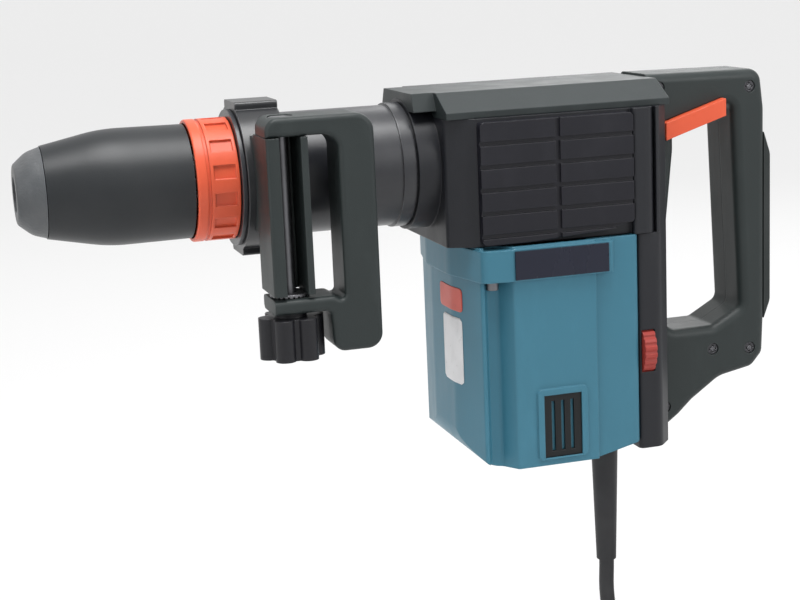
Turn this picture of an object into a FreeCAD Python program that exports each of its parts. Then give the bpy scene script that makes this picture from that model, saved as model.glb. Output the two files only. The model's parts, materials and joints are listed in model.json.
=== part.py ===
# Electric demolition hammer, built as a parametric FreeCAD document (millimetres).
#
# The hammer lies along X with its nose towards -X and its rear grip towards +X, and +Z is up.
# The sizes below are counted along X from a plane just behind the nose tip, and from the hammer axis in Y and Z.
# Every piece is then placed in the part's own frame, whose origin is the middle of the rear grip.
import FreeCAD, Part
import math
import os
import Sketcher
from types import SimpleNamespace

Vector = FreeCAD.Vector
DOC = FreeCAD.newDocument("ElectricJackhammer")
SHEET = DOC.addObject("Spreadsheet::Sheet", "Sizes")

SIZES = [
    # the frame
    ("nose_to_grip", 473, "nose to the rear grip's palm"),
    ("axis_height", 52, "hammer axis above the middle of the rear grip"),
    # clearances
    ("running_gap", 0.08, "radial play of a shaft in its hole"),
    ("seat_gap", 0.05, "play of a piece in its fixed seat"),
    ("free_gap", 0.4, "space between pieces that pass each other"),
    # tool holder and nose
    ("shank_bore_radius", 9.05, "bore for the 18 mm tool shank"),
    ("holder_front", 5, "front face of the tool holder"),
    ("holder_tip_radius", 15.5, "tool holder inside the nose cap"),
    ("holder_radius", 17.5, "tool holder under the release sleeve"),
    ("holder_rear_radius", 21, "tool holder in its bushing"),
    ("holder_end", 150, "rear end of the tool holder"),
    ("shank_bore_end", 112, "bottom of the shank bore"),
    ("bolt_bore_radius", 14.6, "rear bore that the impact bolt slides in"),
    ("nose_front", -2, "front end of the nose cap"),
    ("nose_cap_length", 14, "rear end of the nose cap"),
    ("nose_cap_bore", 10.5, "opening of the nose cap"),
    ("nose_cap_tip_radius", 17.5, "outside of the nose cap at its tip"),
    ("nose_cap_radius", 26.8, "outside of the nose cap at its rear"),
    ("roller_radius", 3.25, "locking roller"),
    ("roller_length", 18, "locking roller along X"),
    ("roller_front", 39, "front end of the locking rollers"),
    ("roller_ring_front", 36, "front face of the ring that holds the rollers in"),
    ("roller_ring_width", 24, "roller ring along X"),
    ("spring_seat_front", 98, "collar that the sleeve spring rests on"),
    ("spring_seat_thickness", 3, "collar along X"),
    ("spring_seat_radius", 24, "collar radius"),
    ("spring_radius", 20.6, "mean radius of the sleeve spring"),
    ("spring_wire_radius", 1.1, "wire of the sleeve spring"),
    # release sleeve and change ring
    ("sleeve_end", 98.5, "rear end of the release sleeve"),
    ("sleeve_radius", 34.2, "release sleeve at its rear"),
    ("sleeve_bore_radius", 26, "hollow of the release sleeve"),
    ("sleeve_shoulder", 50, "where the sleeve's taper meets its barrel"),
    ("ring_front", 99.5, "front of the change ring"),
    ("ring_length", 25, "change ring along X"),
    ("ring_radius", 36.7, "change ring"),
    ("ring_web_thickness", 6, "change ring's web on the tool holder"),
    ("ring_notch_count", 14, "notches round the change ring"),
    ("ring_notch_depth", 1.6, "depth of a notch"),
    ("ring_notch_width", 8, "width of a notch"),
    # barrel
    ("barrel_flange_thickness", 2.5, "front flange of the barrel"),
    ("barrel_flange_radius", 41, "front flange of the barrel"),
    ("band_seat_radius", 36, "barrel under the side grip's band"),
    ("barrel_radius", 37.2, "barrel behind the band"),
    ("barrel_bore_radius", 26.1, "bore of the barrel"),
    ("barrel_end", 251, "rear end of the barrel"),
    ("collar_front", 224, "raised collar of the barrel"),
    ("collar_width", 8, "raised collar along X"),
    ("collar_radius", 38.4, "raised collar"),
    # side grip
    ("band_width", 26, "side grip band along X"),
    ("band_radius", 44, "side grip band"),
    ("band_lug_height", 46, "top of the band's lug above the hammer axis"),
    ("band_lug_half_width", 15, "half width of a band lug in Y"),
    ("post_front", 132, "front face of the side grip's post"),
    ("post_length", 24, "post along X"),
    ("post_wall", 7.5, "front wall of the post"),
    ("post_lip", 4, "rear wall of the post"),
    ("post_web", 8, "web of the post towards the barrel"),
    ("grip_outer_side", 77, "outer side of the side grip from the hammer axis"),
    ("grip_thickness", 30, "side grip in Y"),
    ("post_top", 29.7, "top of the post above the hammer axis"),
    ("post_bottom", 61, "bottom of the post below the hammer axis"),
    ("grip_bolt_x", 144, "clamp bolt from the nose tip"),
    ("grip_bolt_radius", 4, "clamp bolt"),
    ("bolt_head_radius", 7, "head of the clamp bolt across its corners"),
    ("bolt_head_height", 5, "head of the clamp bolt"),
    ("loop_top", 41, "top of the side grip loop"),
    ("loop_bottom", 96.5, "bottom of the side grip loop below the axis"),
    ("loop_rear", 195.5, "rear face of the side grip loop"),
    ("loop_bar", 21.6, "rear bar of the loop along X"),
    ("loop_rounding", 3, "rounding of the loop's edges"),
    ("washer_thickness", 2, "serrated washer"),
    ("washer_radius", 11.5, "serrated washer"),
    ("lower_eye_height", 8.6, "lower eye of the loop"),
    ("knob_radius", 14.3, "clamp knob between its lobes"),
    ("knob_lobe_radius", 6, "lobe of the clamp knob"),
    ("knob_height", 27, "clamp knob"),
    ("knob_neck_height", 3, "neck of the clamp knob above its lobes"),
    ("knob_neck_radius", 9.5, "neck of the clamp knob"),
    ("knob_lobes", 6, "lobes of the clamp knob"),
    # hammer mechanism
    ("bushing_front_step", 1, "bushing behind the barrel's front face"),
    ("impact_bolt_front", 113, "front end of the impact bolt"),
    ("impact_bolt_shoulder", 147, "rear of the impact bolt's head"),
    ("impact_bolt_end", 184.7, "rear end of the impact bolt"),
    ("impact_bolt_radius", 11, "shank of the impact bolt"),
    ("impact_guide_front", 153, "front of the impact bolt's guide"),
    ("impact_guide_width", 12, "guide along X"),
    ("liner_bore_radius", 22.08, "bore of the cylinder liner"),
    ("liner_end", 285, "rear end of the cylinder liner"),
    ("striker_front", 190.2, "front end of the striker"),
    ("striker_length", 33.8, "striker along X"),
    ("striker_nose_radius", 13, "nose of the striker"),
    ("striker_nose_length", 9, "nose of the striker along X"),
    ("seal_width", 4, "seal ring along X"),
    ("seal_depth", 2.4, "groove of a seal ring"),
    ("piston_crown", 8, "crown of the piston along X"),
    ("piston_length", 26, "piston along X"),
    ("piston_skirt_wall", 4.6, "wall of the piston's skirt"),
    ("piston_pin_offset", 18, "piston pin behind the piston's face"),
    ("piston_pin_radius", 4.95, "piston pin"),
    ("rod_length", 70, "connecting rod between its eyes"),
    ("rod_thickness", 12, "connecting rod in Z"),
    ("rod_width", 11, "connecting rod between its eyes in Y"),
    ("small_eye_radius", 9, "connecting rod's eye on the piston pin"),
    ("big_eye_radius", 11, "connecting rod's eye over the crank pin"),
    ("crank_x", 338, "crankshaft from the nose tip"),
    ("crank_radius", 14, "crank pin from the crankshaft's axis"),
    ("crank_pin_radius", 6, "crank pin"),
    ("crank_web_radius", 24, "crank web"),
    ("crank_web_top", 8, "crank web's top below the axis"),
    ("crank_web_thickness", 6, "crank web"),
    ("crank_shaft_radius", 8, "crankshaft"),
    ("crank_shaft_bottom", 47, "bottom of the crankshaft below the axis"),
    # gears and motor
    ("gear_module", 1.25, "module of the gear pair"),
    ("gear_teeth", 56, "teeth of the crank gear"),
    ("pinion_teeth", 8, "teeth of the motor pinion"),
    ("gear_top", 14.4, "top of the crank gear below the axis"),
    ("gear_width", 12.6, "crank gear in Z"),
    ("plate_top", 28, "top of the gear plate below the axis"),
    ("plate_thickness", 19, "gear plate in Z"),
    ("crank_bearing_radius", 19, "crank bearing"),
    ("bearing_width", 7, "ball bearing in Z"),
    ("motor_shaft_radius", 5, "motor shaft"),
    ("motor_shaft_bottom", 167, "bottom of the motor shaft below the axis"),
    ("motor_bearing_radius", 13, "upper motor bearing"),
    ("lower_bearing_radius", 11, "lower motor bearing"),
    ("lower_bearing_top", 157, "top of the lower bearing below the axis"),
    ("fan_top", 50, "top of the cooling fan below the axis"),
    ("fan_radius", 35, "cooling fan"),
    ("fan_height", 13, "cooling fan in Z"),
    ("fan_blades", 12, "blades of the cooling fan"),
    ("core_top", 72, "top of the rotor core and stator below the axis"),
    ("core_height", 52, "rotor core and stator in Z"),
    ("rotor_radius", 24, "rotor core"),
    ("air_gap", 0.8, "rotor to stator"),
    ("stator_radius", 36, "stator"),
    ("winding_height", 6, "end winding beyond the core"),
    ("commutator_gap", 4, "commutator below the rotor's end winding"),
    ("commutator_height", 16, "commutator in Z"),
    ("commutator_radius", 14, "commutator"),
    ("brush_width", 8, "carbon brush along X"),
    ("brush_height", 6, "carbon brush in Z"),
    ("brush_length", 18, "carbon brush in Y"),
    ("brush_holder_width", 14, "brush holder along X"),
    ("brush_holder_height", 12, "brush holder in Z"),
    # crank housing and covers
    ("crank_case_front", 247, "front of the crank housing"),
    ("crank_case_shoulder", 265, "where the crank housing reaches its full width"),
    ("crank_case_rear", 380, "rear of the crank housing"),
    ("crank_case_top", 30, "top of the crank housing above the axis"),
    ("crank_case_bottom", 47.5, "bottom of the crank housing below the axis"),
    ("crank_case_front_half_width", 45, "half width of the crank housing's front"),
    ("crank_case_half_width", 54, "half width of the crank housing"),
    ("crank_case_wall", 4, "wall of the crank housing"),
    ("boss_front", 233, "front of the boss that holds the barrel"),
    ("boss_radius", 40.5, "boss that holds the barrel"),
    ("side_cover_thickness", 6, "side cover in Y"),
    ("side_cover_rear", 364, "rear edge of the side covers"),
    ("side_cover_top", 28, "top edge of the side covers above the axis"),
    ("side_cover_bottom", 46, "bottom edge of the side covers below the axis"),
    ("side_cover_arch", 7, "rise of a side cover's lower edge towards the rear"),
    ("cover_groove_pitch", 14, "pitch of the side covers' grooves"),
    ("cover_groove_width", 2.6, "groove of a side cover"),
    ("cover_groove_depth", 1.8, "depth of a groove"),
    ("cover_groove_count", 5, "grooves of a side cover"),
    ("top_cover_top", 45, "top of the top cover above the axis"),
    ("top_cover_half_width", 52, "half width of the top cover's foot"),
    ("top_cover_ridge", 33, "half width of the top cover's flat"),
    ("top_cover_wall", 3, "wall of the top cover"),
    # motor housing
    ("motor_x", 298, "motor shaft from the nose tip"),
    ("motor_case_front", 257, "front of the motor housing"),
    ("motor_case_rear", 367, "rear of the motor housing"),
    ("motor_case_top", 47.8, "top of the motor housing below the axis"),
    ("motor_case_bottom", 187, "bottom of the motor housing below the axis"),
    ("motor_case_half_width", 62, "half width of the motor housing's side panels"),
    ("motor_case_floor", 4, "floor of the motor housing"),
    ("motor_case_front_rounding", 20, "rounding under the housing's front"),
    ("flute_front", 264, "front edge of the front flute"),
    ("flute_width", 12, "flute along X"),
    ("flute_facet", 7, "slanted side of the flute along X"),
    ("flute_depth", 11, "flute below the side panel"),
    ("panel_rear", 337, "rear edge of the side panel"),
    ("side_band_top", 49, "top of the housing's band below the axis"),
    ("side_band_height", 19.5, "housing's band in Z"),
    ("side_band_step", 2.5, "band's height over the panel"),
    ("side_band_rear", 348, "rear end of the band"),
    ("badge_front", 283, "front edge of the badge plate"),
    ("badge_length", 61, "badge plate along X"),
    ("badge_thickness", 1.2, "badge plate"),
    ("vent_front", 300, "front edge of the air inlet"),
    ("vent_length", 25, "air inlet along X"),
    ("vent_top", 142, "top of the air inlet below the axis"),
    ("vent_height", 40, "air inlet in Z"),
    ("vent_depth", 3, "air inlet in Y"),
    ("vent_slots", 3, "slots of an air inlet"),
    # rear cover, dial and handle
    ("rear_cover_rear", 392, "rear face of the rear cover"),
    ("rear_cover_half_width", 57, "half width of the rear cover"),
    ("rear_cover_bottom", 186, "bottom of the rear cover below the axis"),
    ("rear_cover_wall", 3, "wall of the rear cover"),
    ("dial_radius", 18.6, "speed dial"),
    ("dial_width", 8, "speed dial along X"),
    ("dial_front", 369.5, "front face of the speed dial"),
    ("dial_depth", 122.75, "speed dial's axis below the hammer axis"),
    ("dial_proud", 5, "how far the dial stands out of the cover"),
    ("dial_shaft_radius", 3, "shaft of the speed dial"),
    ("handle_half_width", 21, "half width of the handle"),
    ("handle_top", 46.5, "top of the handle above the axis"),
    ("handle_reach", 84, "handle behind the rear cover"),
    ("grip_depth", 24, "handle's grip along X at its top"),
    ("grip_lean", 6, "how far the grip's front face leans back towards its bottom"),
    ("handle_root", 19, "handle in front of its opening"),
    ("hole_step", 7, "how far the opening reaches forward below"),
    ("hole_top", 27, "top of the handle's opening above the axis"),
    ("hole_bottom", 121, "bottom of the handle's opening below the axis"),
    ("handle_foot", 35.5, "handle under its opening"),
    ("handle_rounding", 6, "rounding of the handle's edges"),
    ("pad_thickness", 4.5, "rubber pad on the grip"),
    ("pad_top", 4, "top of the rubber pad above the axis"),
    ("pad_bottom", 120, "bottom of the rubber pad below the axis"),
    ("lever_inset", 10, "front end of the switch lever behind the rear cover"),
    ("lever_length", 42, "switch lever along X"),
    ("lever_low", 4.5, "underside of the lever's front end"),
    ("lever_rise", 13, "rise of the lever over its length"),
    ("lever_thickness", 11, "switch lever"),
    ("lever_proud", 6, "how far the lever stands out on the left"),
    ("switch_inset", 13, "switch body's front behind the rear cover"),
    ("switch_length", 33, "switch body along X"),
    ("switch_bottom", 29.6, "switch body's underside above the axis"),
    ("switch_height", 11, "switch body in Z"),
    ("switch_half_width", 14, "half width of the switch body"),
    ("screw_head_radius", 3.8, "head of a housing screw"),
    ("screw_head_height", 3, "head of a housing screw"),
    ("screw_shank_radius", 1.8, "shank of a housing screw"),
    ("screw_length", 16, "housing screw under its head"),
    # cord
    ("cord_radius", 5, "mains cord"),
    ("guard_neck_radius", 7, "cord guard in the housings"),
    ("guard_top_radius", 9.2, "cord guard at its top"),
    ("guard_tip_radius", 6.6, "cord guard at its tip"),
    ("guard_top", 187.4, "top of the cord guard's sleeve below the axis"),
    ("guard_bottom", 278, "tip of the cord guard below the axis"),
    ("coil_radius", 55, "middle of the coil's turns"),
    ("coil_width", 40, "coil of cord across its turns"),
    ("coil_height", 36, "coil of cord"),
]


class Dim:
    """A length that knows its value and the sheet expression that it comes from."""

    def __init__(self, value, text):
        self.value = float(value)
        self.text = text

    def __add__(self, other):
        other = as_dim(other)
        return Dim(self.value + other.value, f"({self.text} + {other.text})")

    def __radd__(self, other):
        return as_dim(other) + self

    def __sub__(self, other):
        other = as_dim(other)
        return Dim(self.value - other.value, f"({self.text} - {other.text})")

    def __rsub__(self, other):
        return as_dim(other) - self

    def __mul__(self, factor):
        factor = as_dim(factor)
        return Dim(self.value * factor.value, f"({self.text} * {factor.text})")

    def __rmul__(self, factor):
        return self * factor

    def __truediv__(self, divisor):
        divisor = as_dim(divisor)
        return Dim(self.value / divisor.value, f"({self.text} / {divisor.text})")

    def __neg__(self):
        return Dim(-self.value, f"(0 - {self.text})")


def as_dim(number):
    if isinstance(number, Dim):
        return number
    return Dim(number, f"({number:.6f})")


def fill_sheet():
    """Write every driving size to the sheet and return them by name."""
    named = {}
    for row, (name, value, note) in enumerate(SIZES, 1):
        SHEET.set(f"A{row}", name)
        SHEET.set(f"B{row}", str(value))
        SHEET.setAlias(f"B{row}", name)
        SHEET.set(f"C{row}", note)
        named[name] = Dim(value, "Sizes." + name)
    DOC.recompute()
    return SimpleNamespace(**named)


d = fill_sheet()


# ---------------------------------------------------------------- how pieces are drawn

PLANES = {"side": "XZ_Plane", "top": "XY_Plane", "front": "YZ_Plane"}
AXES = {"x": "X_Axis", "y": "Y_Axis", "z": "Z_Axis"}


def bind(item, prop, length):
    """Tie a property to the sheet."""
    item.setExpression(prop, as_dim(length).text)


def place(piece, x=0, y=0, z=0):
    """Put a piece's own origin at a point counted from the nose tip and the hammer axis."""
    bind(piece, "Placement.Base.x", x - d.nose_to_grip)
    bind(piece, "Placement.Base.y", y)
    bind(piece, "Placement.Base.z", z + d.axis_height)
    return piece


def origin_part(owner, role):
    return [part for part in owner.Origin.OriginFeatures if part.Role == role][0]


def new_body(name, x=0, y=0, z=0):
    return place(DOC.addObject("PartDesign::Body", name), x, y, z)


def sketch(owner, plane, start=0):
    """A sketch on one of the body's own planes. The side plane's front looks towards -Y."""
    drawing = owner.newObject("Sketcher::SketchObject", owner.Label + "_sketch")
    drawing.AttachmentSupport = [(origin_part(owner, PLANES[plane]), "")]
    drawing.MapMode = "FlatFace"
    bind(drawing, "AttachmentOffset.Base.z", start)
    return drawing


def dimension(kind, geometry, point, length):
    """A driving dimension from the sketch's origin to a point, with the length that it takes."""
    length = as_dim(length)
    return Sketcher.Constraint(kind, -1, 1, geometry, point, length.value), length


def rule(*words):
    """A constraint without a length."""
    return Sketcher.Constraint(*words), None


def size_rule(kind, geometry, length):
    length = as_dim(length)
    return Sketcher.Constraint(kind, geometry, length.value), length


def add_rules(drawing, rules):
    """Add the constraints together, then tie their lengths to the sheet."""
    first = drawing.ConstraintCount
    drawing.addConstraint([constraint for constraint, length in rules])
    for index, (constraint, length) in enumerate(rules, first):
        if length is not None and "Sizes" in length.text:
            drawing.setExpression(f"Constraints[{index}]", length.text)


def draw_circle(drawing, across, up, radius):
    centre = Vector(as_dim(across).value, as_dim(up).value, 0)
    circle = drawing.addGeometry(Part.Circle(centre, Vector(0, 0, 1), as_dim(radius).value))
    add_rules(drawing, [dimension("DistanceX", circle, 3, across), dimension("DistanceY", circle, 3, up),
                        size_rule("Radius", circle, radius)])


def corner_arc(before, corner, after, radius):
    """Tangent points and arc that round a corner."""
    back = (before - corner).normalize()
    ahead = (after - corner).normalize()
    half = back.getAngle(ahead) / 2
    reach = radius / math.tan(half)
    start = corner + back * reach
    end = corner + ahead * reach
    centre = corner + (back + ahead).normalize() * (radius / math.sin(half))
    middle = centre + (corner - centre).normalize() * radius
    arc = Part.Arc(start, middle, end).toShape().Curve
    first = math.atan2(start.y - centre.y, start.x - centre.x)
    last = math.atan2(end.y - centre.y, end.x - centre.x)
    turns_left = back.cross(ahead).z < 0
    if not turns_left:
        first, last = last, first
    arc = Part.ArcOfCircle(Part.Circle(centre, Vector(0, 0, 1), radius), first, last)
    return start, end, arc, turns_left


def draw_outline(drawing, corners):
    """Closed outline through (across, up) corners. A third number rounds the corner."""
    count = len(corners)
    points = [Vector(as_dim(c[0]).value, as_dim(c[1]).value, 0) for c in corners]
    rounded = {}
    for i, corner in enumerate(corners):
        if len(corner) == 3:
            radius = as_dim(corner[2])
            rounded[i] = corner_arc(points[i - 1], points[i], points[(i + 1) % count], radius.value)
    lines = []
    for i in range(count):
        following = (i + 1) % count
        start = rounded[i][1] if i in rounded else points[i]
        end = rounded[following][0] if following in rounded else points[following]
        lines.append(drawing.addGeometry(Part.LineSegment(start, end)))
    rules = []
    for i, corner in enumerate(corners):
        previous = lines[i - 1]
        if i not in rounded:
            rules.append(rule("Coincident", previous, 2, lines[i], 1))
            rules.append(dimension("DistanceX", lines[i], 1, corner[0]))
            rules.append(dimension("DistanceY", lines[i], 1, corner[1]))
            continue
        arc = drawing.addGeometry(rounded[i][2])
        first, last = (1, 2) if rounded[i][3] else (2, 1)
        mark = drawing.addGeometry(Part.Point(points[i]), True)
        rules.append(dimension("DistanceX", mark, 1, corner[0]))
        rules.append(dimension("DistanceY", mark, 1, corner[1]))
        rules.append(rule("PointOnObject", mark, 1, previous))
        rules.append(rule("PointOnObject", mark, 1, lines[i]))
        rules.append(rule("Tangent", previous, 2, arc, first))
        rules.append(rule("Tangent", arc, last, lines[i], 1))
        rules.append(size_rule("Radius", arc, corner[2]))
    add_rules(drawing, rules)


def draw(drawing, shapes):
    """Outlines are lists of corners, and circles are (across, up, radius) tuples."""
    for shape in shapes:
        if isinstance(shape, tuple):
            draw_circle(drawing, *shape)
        else:
            draw_outline(drawing, shape)


def extrude(owner, kind, plane, start, length, shapes):
    drawing = sketch(owner, plane, start)
    draw(drawing, shapes)
    feature = owner.newObject("PartDesign::" + kind, f"{owner.Label}_{kind.lower()}")
    feature.Profile = drawing
    bind(feature, "Length", length)
    feature.Reversed = kind == "Pocket"
    return feature


def pad(owner, plane, start, length, *shapes):
    """Add material from start over a length, along the plane's normal."""
    return extrude(owner, "Pad", plane, start, length, shapes)


def cut(owner, plane, start, length, *shapes):
    """Take material away from start over a length, along the plane's normal."""
    return extrude(owner, "Pocket", plane, start, length, shapes)


def spin(owner, kind, axis, corners):
    """Turn an outline round one of the body's axes: corners are (along, radius)."""
    flip = axis == "z"
    drawing = sketch(owner, "side")
    if flip:
        corners = [(c[1], c[0], *c[2:]) for c in corners]
    draw_outline(drawing, corners)
    feature = owner.newObject("PartDesign::" + kind, f"{owner.Label}_{kind.lower()}")
    feature.Profile = drawing
    feature.ReferenceAxis = (drawing, ["V_Axis" if flip else "H_Axis"])
    return feature


def turned(name, axis, corners, x=0, y=0, z=0):
    """A piece turned round the X or the Z axis of its place."""
    owner = new_body(name, x, y, z)
    spin(owner, "Revolution", axis, corners)
    return owner


def ring(name, axis, start, length, inner, outer, x=0, y=0, z=0):
    """A plain ring, which is a disc where the inner radius is 0."""
    end = start + length
    return turned(name, axis, [(start, inner), (end, inner), (end, outer), (start, outer)], x, y, z)


def box_corners(low_across, high_across, low_up, high_up, rounding=None):
    """The four corners of an upright rectangle."""
    corners = [(low_across, low_up), (high_across, low_up), (high_across, high_up), (low_across, high_up)]
    if rounding is None:
        return corners
    return [(*corner, rounding) for corner in corners]


def repeat(owner, features, axis, count):
    """Copies of features evenly round an axis."""
    pattern = owner.newObject("PartDesign::PolarPattern", owner.Label + "_pattern")
    pattern.Originals = features
    pattern.Axis = (origin_part(owner, AXES[axis]), [""])
    pattern.Angle = 360
    bind(pattern, "Occurrences", count)
    owner.Tip = pattern
    return pattern


def round_edges(owner, radius, wanted):
    """Round the edges that a test picks by their middle point and bounding box."""
    DOC.recompute()
    tip = owner.Tip
    names = []
    for number, edge in enumerate(tip.Shape.Edges, 1):
        if wanted(edge):
            names.append(f"Edge{number}")
    feature = owner.newObject("PartDesign::Fillet", owner.Label + "_rounding")
    feature.Base = (tip, names)
    bind(feature, "Radius", radius)
    return feature


def lies_on(edge, axis, value):
    """Whether an edge lies in the plane where a coordinate has a value."""
    box = edge.BoundBox
    low, high = (box.YMin, box.YMax) if axis == "y" else (box.XMin, box.XMax)
    return abs(low - value) < 0.01 and abs(high - value) < 0.01


def cylinder(name, axis, radius, length, x, y, z):
    """A plain rod that starts at a point and runs along +X, +Y or +Z."""
    turn = {"x": (Vector(0, 1, 0), 90), "y": (Vector(1, 0, 0), -90), "z": (Vector(0, 0, 1), 0)}
    rod = DOC.addObject("Part::Cylinder", name)
    bind(rod, "Radius", radius)
    bind(rod, "Height", length)
    rod.Placement.Rotation = FreeCAD.Rotation(*turn[axis])
    return place(rod, x, y, z)


def block(name, x, y, z, length, width, height):
    """A plain block from its lowest corner."""
    piece = DOC.addObject("Part::Box", name)
    bind(piece, "Length", length)
    bind(piece, "Width", width)
    bind(piece, "Height", height)
    return place(piece, x, y, z)


def group(name, pieces):
    """Separate solids that share one node."""
    bundle = DOC.addObject("Part::Compound", name)
    bundle.Links = pieces
    return bundle


# ---------------------------------------------------------------- tool holder and nose


def make_tool_holder():
    """Steel tube that takes the shank, with two slots for the locking rollers."""
    seat_end = d.spring_seat_front + d.spring_seat_thickness
    holder = turned("tool_holder", "x", [
        (d.holder_front, d.shank_bore_radius), (d.shank_bore_end, d.shank_bore_radius),
        (d.shank_bore_end, d.bolt_bore_radius), (d.holder_end, d.bolt_bore_radius),
        (d.holder_end, d.holder_rear_radius), (seat_end, d.holder_rear_radius),
        (seat_end, d.spring_seat_radius), (d.spring_seat_front, d.spring_seat_radius),
        (d.spring_seat_front, d.holder_radius), (d.nose_cap_length, d.holder_radius),
        (d.nose_cap_length, d.holder_tip_radius), (d.holder_front, d.holder_tip_radius)])
    half_slot = d.roller_radius + d.seat_gap
    slot = box_corners(d.roller_front - d.seat_gap, d.roller_front + d.roller_length + d.seat_gap,
                       -d.holder_radius - 1, d.holder_radius + 1)
    cut(holder, "top", -half_slot, half_slot * 2, slot)
    return holder


def make_rollers():
    """Two rollers that lie along the bore and lock the shank."""
    reach = d.shank_bore_radius + d.roller_radius + d.seat_gap
    rollers = [cylinder(f"locking_roller_{side}", "x", d.roller_radius, d.roller_length, d.roller_front,
                        reach * sign, 0) for side, sign in (("left", -1), ("right", 1))]
    return group("locking_rollers", rollers)


def make_nose_cap():
    middle = (d.nose_front + d.nose_cap_length) / 2
    return turned("nose_cap", "x", [
        (d.nose_front, d.nose_cap_bore), (d.holder_front, d.nose_cap_bore),
        (d.holder_front, d.holder_tip_radius + d.seat_gap),
        (d.nose_cap_length, d.holder_tip_radius + d.seat_gap),
        (d.nose_cap_length, d.nose_cap_radius), (middle, d.nose_cap_radius - 2.5, 15),
        (d.nose_front, d.nose_cap_tip_radius, 3)])


def make_release_sleeve():
    """Hollow sleeve that is pulled back to free the shank."""
    front = d.nose_cap_length + d.free_gap
    running = d.holder_radius + d.running_gap
    return turned("release_sleeve", "x", [
        (front, running), (d.roller_ring_front, running), (d.roller_ring_front, d.sleeve_bore_radius),
        (d.sleeve_end, d.sleeve_bore_radius), (d.sleeve_end, d.sleeve_radius),
        (d.sleeve_shoulder, d.sleeve_radius + 0.5, 100), (front, d.nose_cap_radius + 0.6)])


def make_roller_ring():
    return ring("roller_ring", "x", d.roller_ring_front, d.roller_ring_width,
                d.holder_radius + d.running_gap, d.sleeve_bore_radius - d.seat_gap)


def make_sleeve_spring():
    """Coil spring from the roller ring to the collar of the tool holder."""
    start = d.roller_ring_front + d.roller_ring_width + d.spring_wire_radius + 0.1
    end = d.spring_seat_front - d.spring_wire_radius - 0.1
    turns = 6
    path = DOC.addObject("Part::Helix", "sleeve_spring_path")
    bind(path, "Radius", d.spring_radius)
    bind(path, "Height", end - start)
    bind(path, "Pitch", (end - start) / turns)
    path.Placement.Rotation = FreeCAD.Rotation(Vector(0, 1, 0), 90)
    place(path, start, 0, 0)
    path.SegmentLength = 1
    wire = DOC.addObject("Part::Circle", "sleeve_spring_wire")
    bind(wire, "Radius", d.spring_wire_radius)
    wire.Placement.Rotation = FreeCAD.Rotation(Vector(0, 1, 0), 90) * FreeCAD.Rotation(Vector(1, 0, 0), 90)
    place(wire, start, 0, -d.spring_radius)
    spring = DOC.addObject("Part::Sweep", "sleeve_spring")
    spring.Sections = [wire]
    spring.Spine = (path, [])
    spring.Solid = True
    spring.Frenet = True
    return spring


def make_change_ring():
    """Notched ring that is pushed forward to turn the chisel."""
    end = d.ring_front + d.ring_length
    web_front = end - d.ring_web_thickness
    lip_end = d.ring_front + 6
    piece = turned("change_ring", "x", [
        (d.ring_front, d.sleeve_radius + d.free_gap), (web_front, d.sleeve_radius + d.free_gap),
        (web_front, d.holder_rear_radius + d.running_gap), (end, d.holder_rear_radius + d.running_gap),
        (end, d.ring_radius), (lip_end + 2, d.ring_radius), (lip_end + 2, d.ring_radius - 1.2),
        (lip_end, d.ring_radius - 1.2), (lip_end, d.ring_radius), (d.ring_front, d.ring_radius, 1)])
    top = d.ring_radius + 1
    notch = cut(piece, "top", d.ring_radius - d.ring_notch_depth, top,
                box_corners(lip_end + 4, end - 2, d.ring_notch_width / -2, d.ring_notch_width / 2))
    repeat(piece, [notch], "x", d.ring_notch_count)
    return piece


# ---------------------------------------------------------------- barrel and hammer mechanism

barrel_front = d.ring_front + d.ring_length + 0.6
band_front = barrel_front + d.barrel_flange_thickness + 0.3
band_end = band_front + d.band_width


def make_barrel():
    flange_end = barrel_front + d.barrel_flange_thickness
    collar_end = d.collar_front + d.collar_width
    return turned("barrel", "x", [
        (barrel_front, d.barrel_bore_radius), (d.barrel_end, d.barrel_bore_radius),
        (d.barrel_end, d.barrel_radius), (collar_end, d.barrel_radius), (collar_end, d.collar_radius),
        (d.collar_front, d.collar_radius), (d.collar_front, d.barrel_radius), (band_end + 3, d.barrel_radius),
        (band_end + 1.5, d.band_seat_radius), (flange_end, d.band_seat_radius),
        (flange_end, d.barrel_flange_radius), (barrel_front, d.barrel_flange_radius)])


def make_front_bushing():
    start = barrel_front + d.bushing_front_step
    return ring("front_bushing", "x", start, d.holder_end - start, d.holder_rear_radius + d.running_gap,
                d.barrel_bore_radius - d.seat_gap)


def make_impact_bolt():
    """Steel bolt that passes the blow to the chisel's shank."""
    return turned("impact_bolt", "x", [
        (d.impact_bolt_front, 0), (d.impact_bolt_end, 0), (d.impact_bolt_end, d.impact_bolt_radius),
        (d.impact_bolt_shoulder, d.impact_bolt_radius),
        (d.impact_bolt_shoulder, d.bolt_bore_radius - d.running_gap),
        (d.impact_bolt_front, d.bolt_bore_radius - d.running_gap)])


def make_impact_guide():
    return ring("impact_guide", "x", d.impact_guide_front, d.impact_guide_width,
                d.impact_bolt_radius + d.running_gap, d.barrel_bore_radius - d.seat_gap)


def make_barrel_bushings():
    """Bushings in the barrel for the tool holder and the impact bolt."""
    return group("barrel_bushings", [make_front_bushing(), make_impact_guide()])


def make_cylinder_liner():
    start = d.impact_guide_front + d.impact_guide_width + 0.2
    return ring("cylinder_liner", "x", start, d.liner_end - start, d.liner_bore_radius,
                d.barrel_bore_radius - d.seat_gap)


def slider_radius():
    """Radius of the striker and the piston in the liner."""
    return d.liner_bore_radius - d.running_gap


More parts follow.
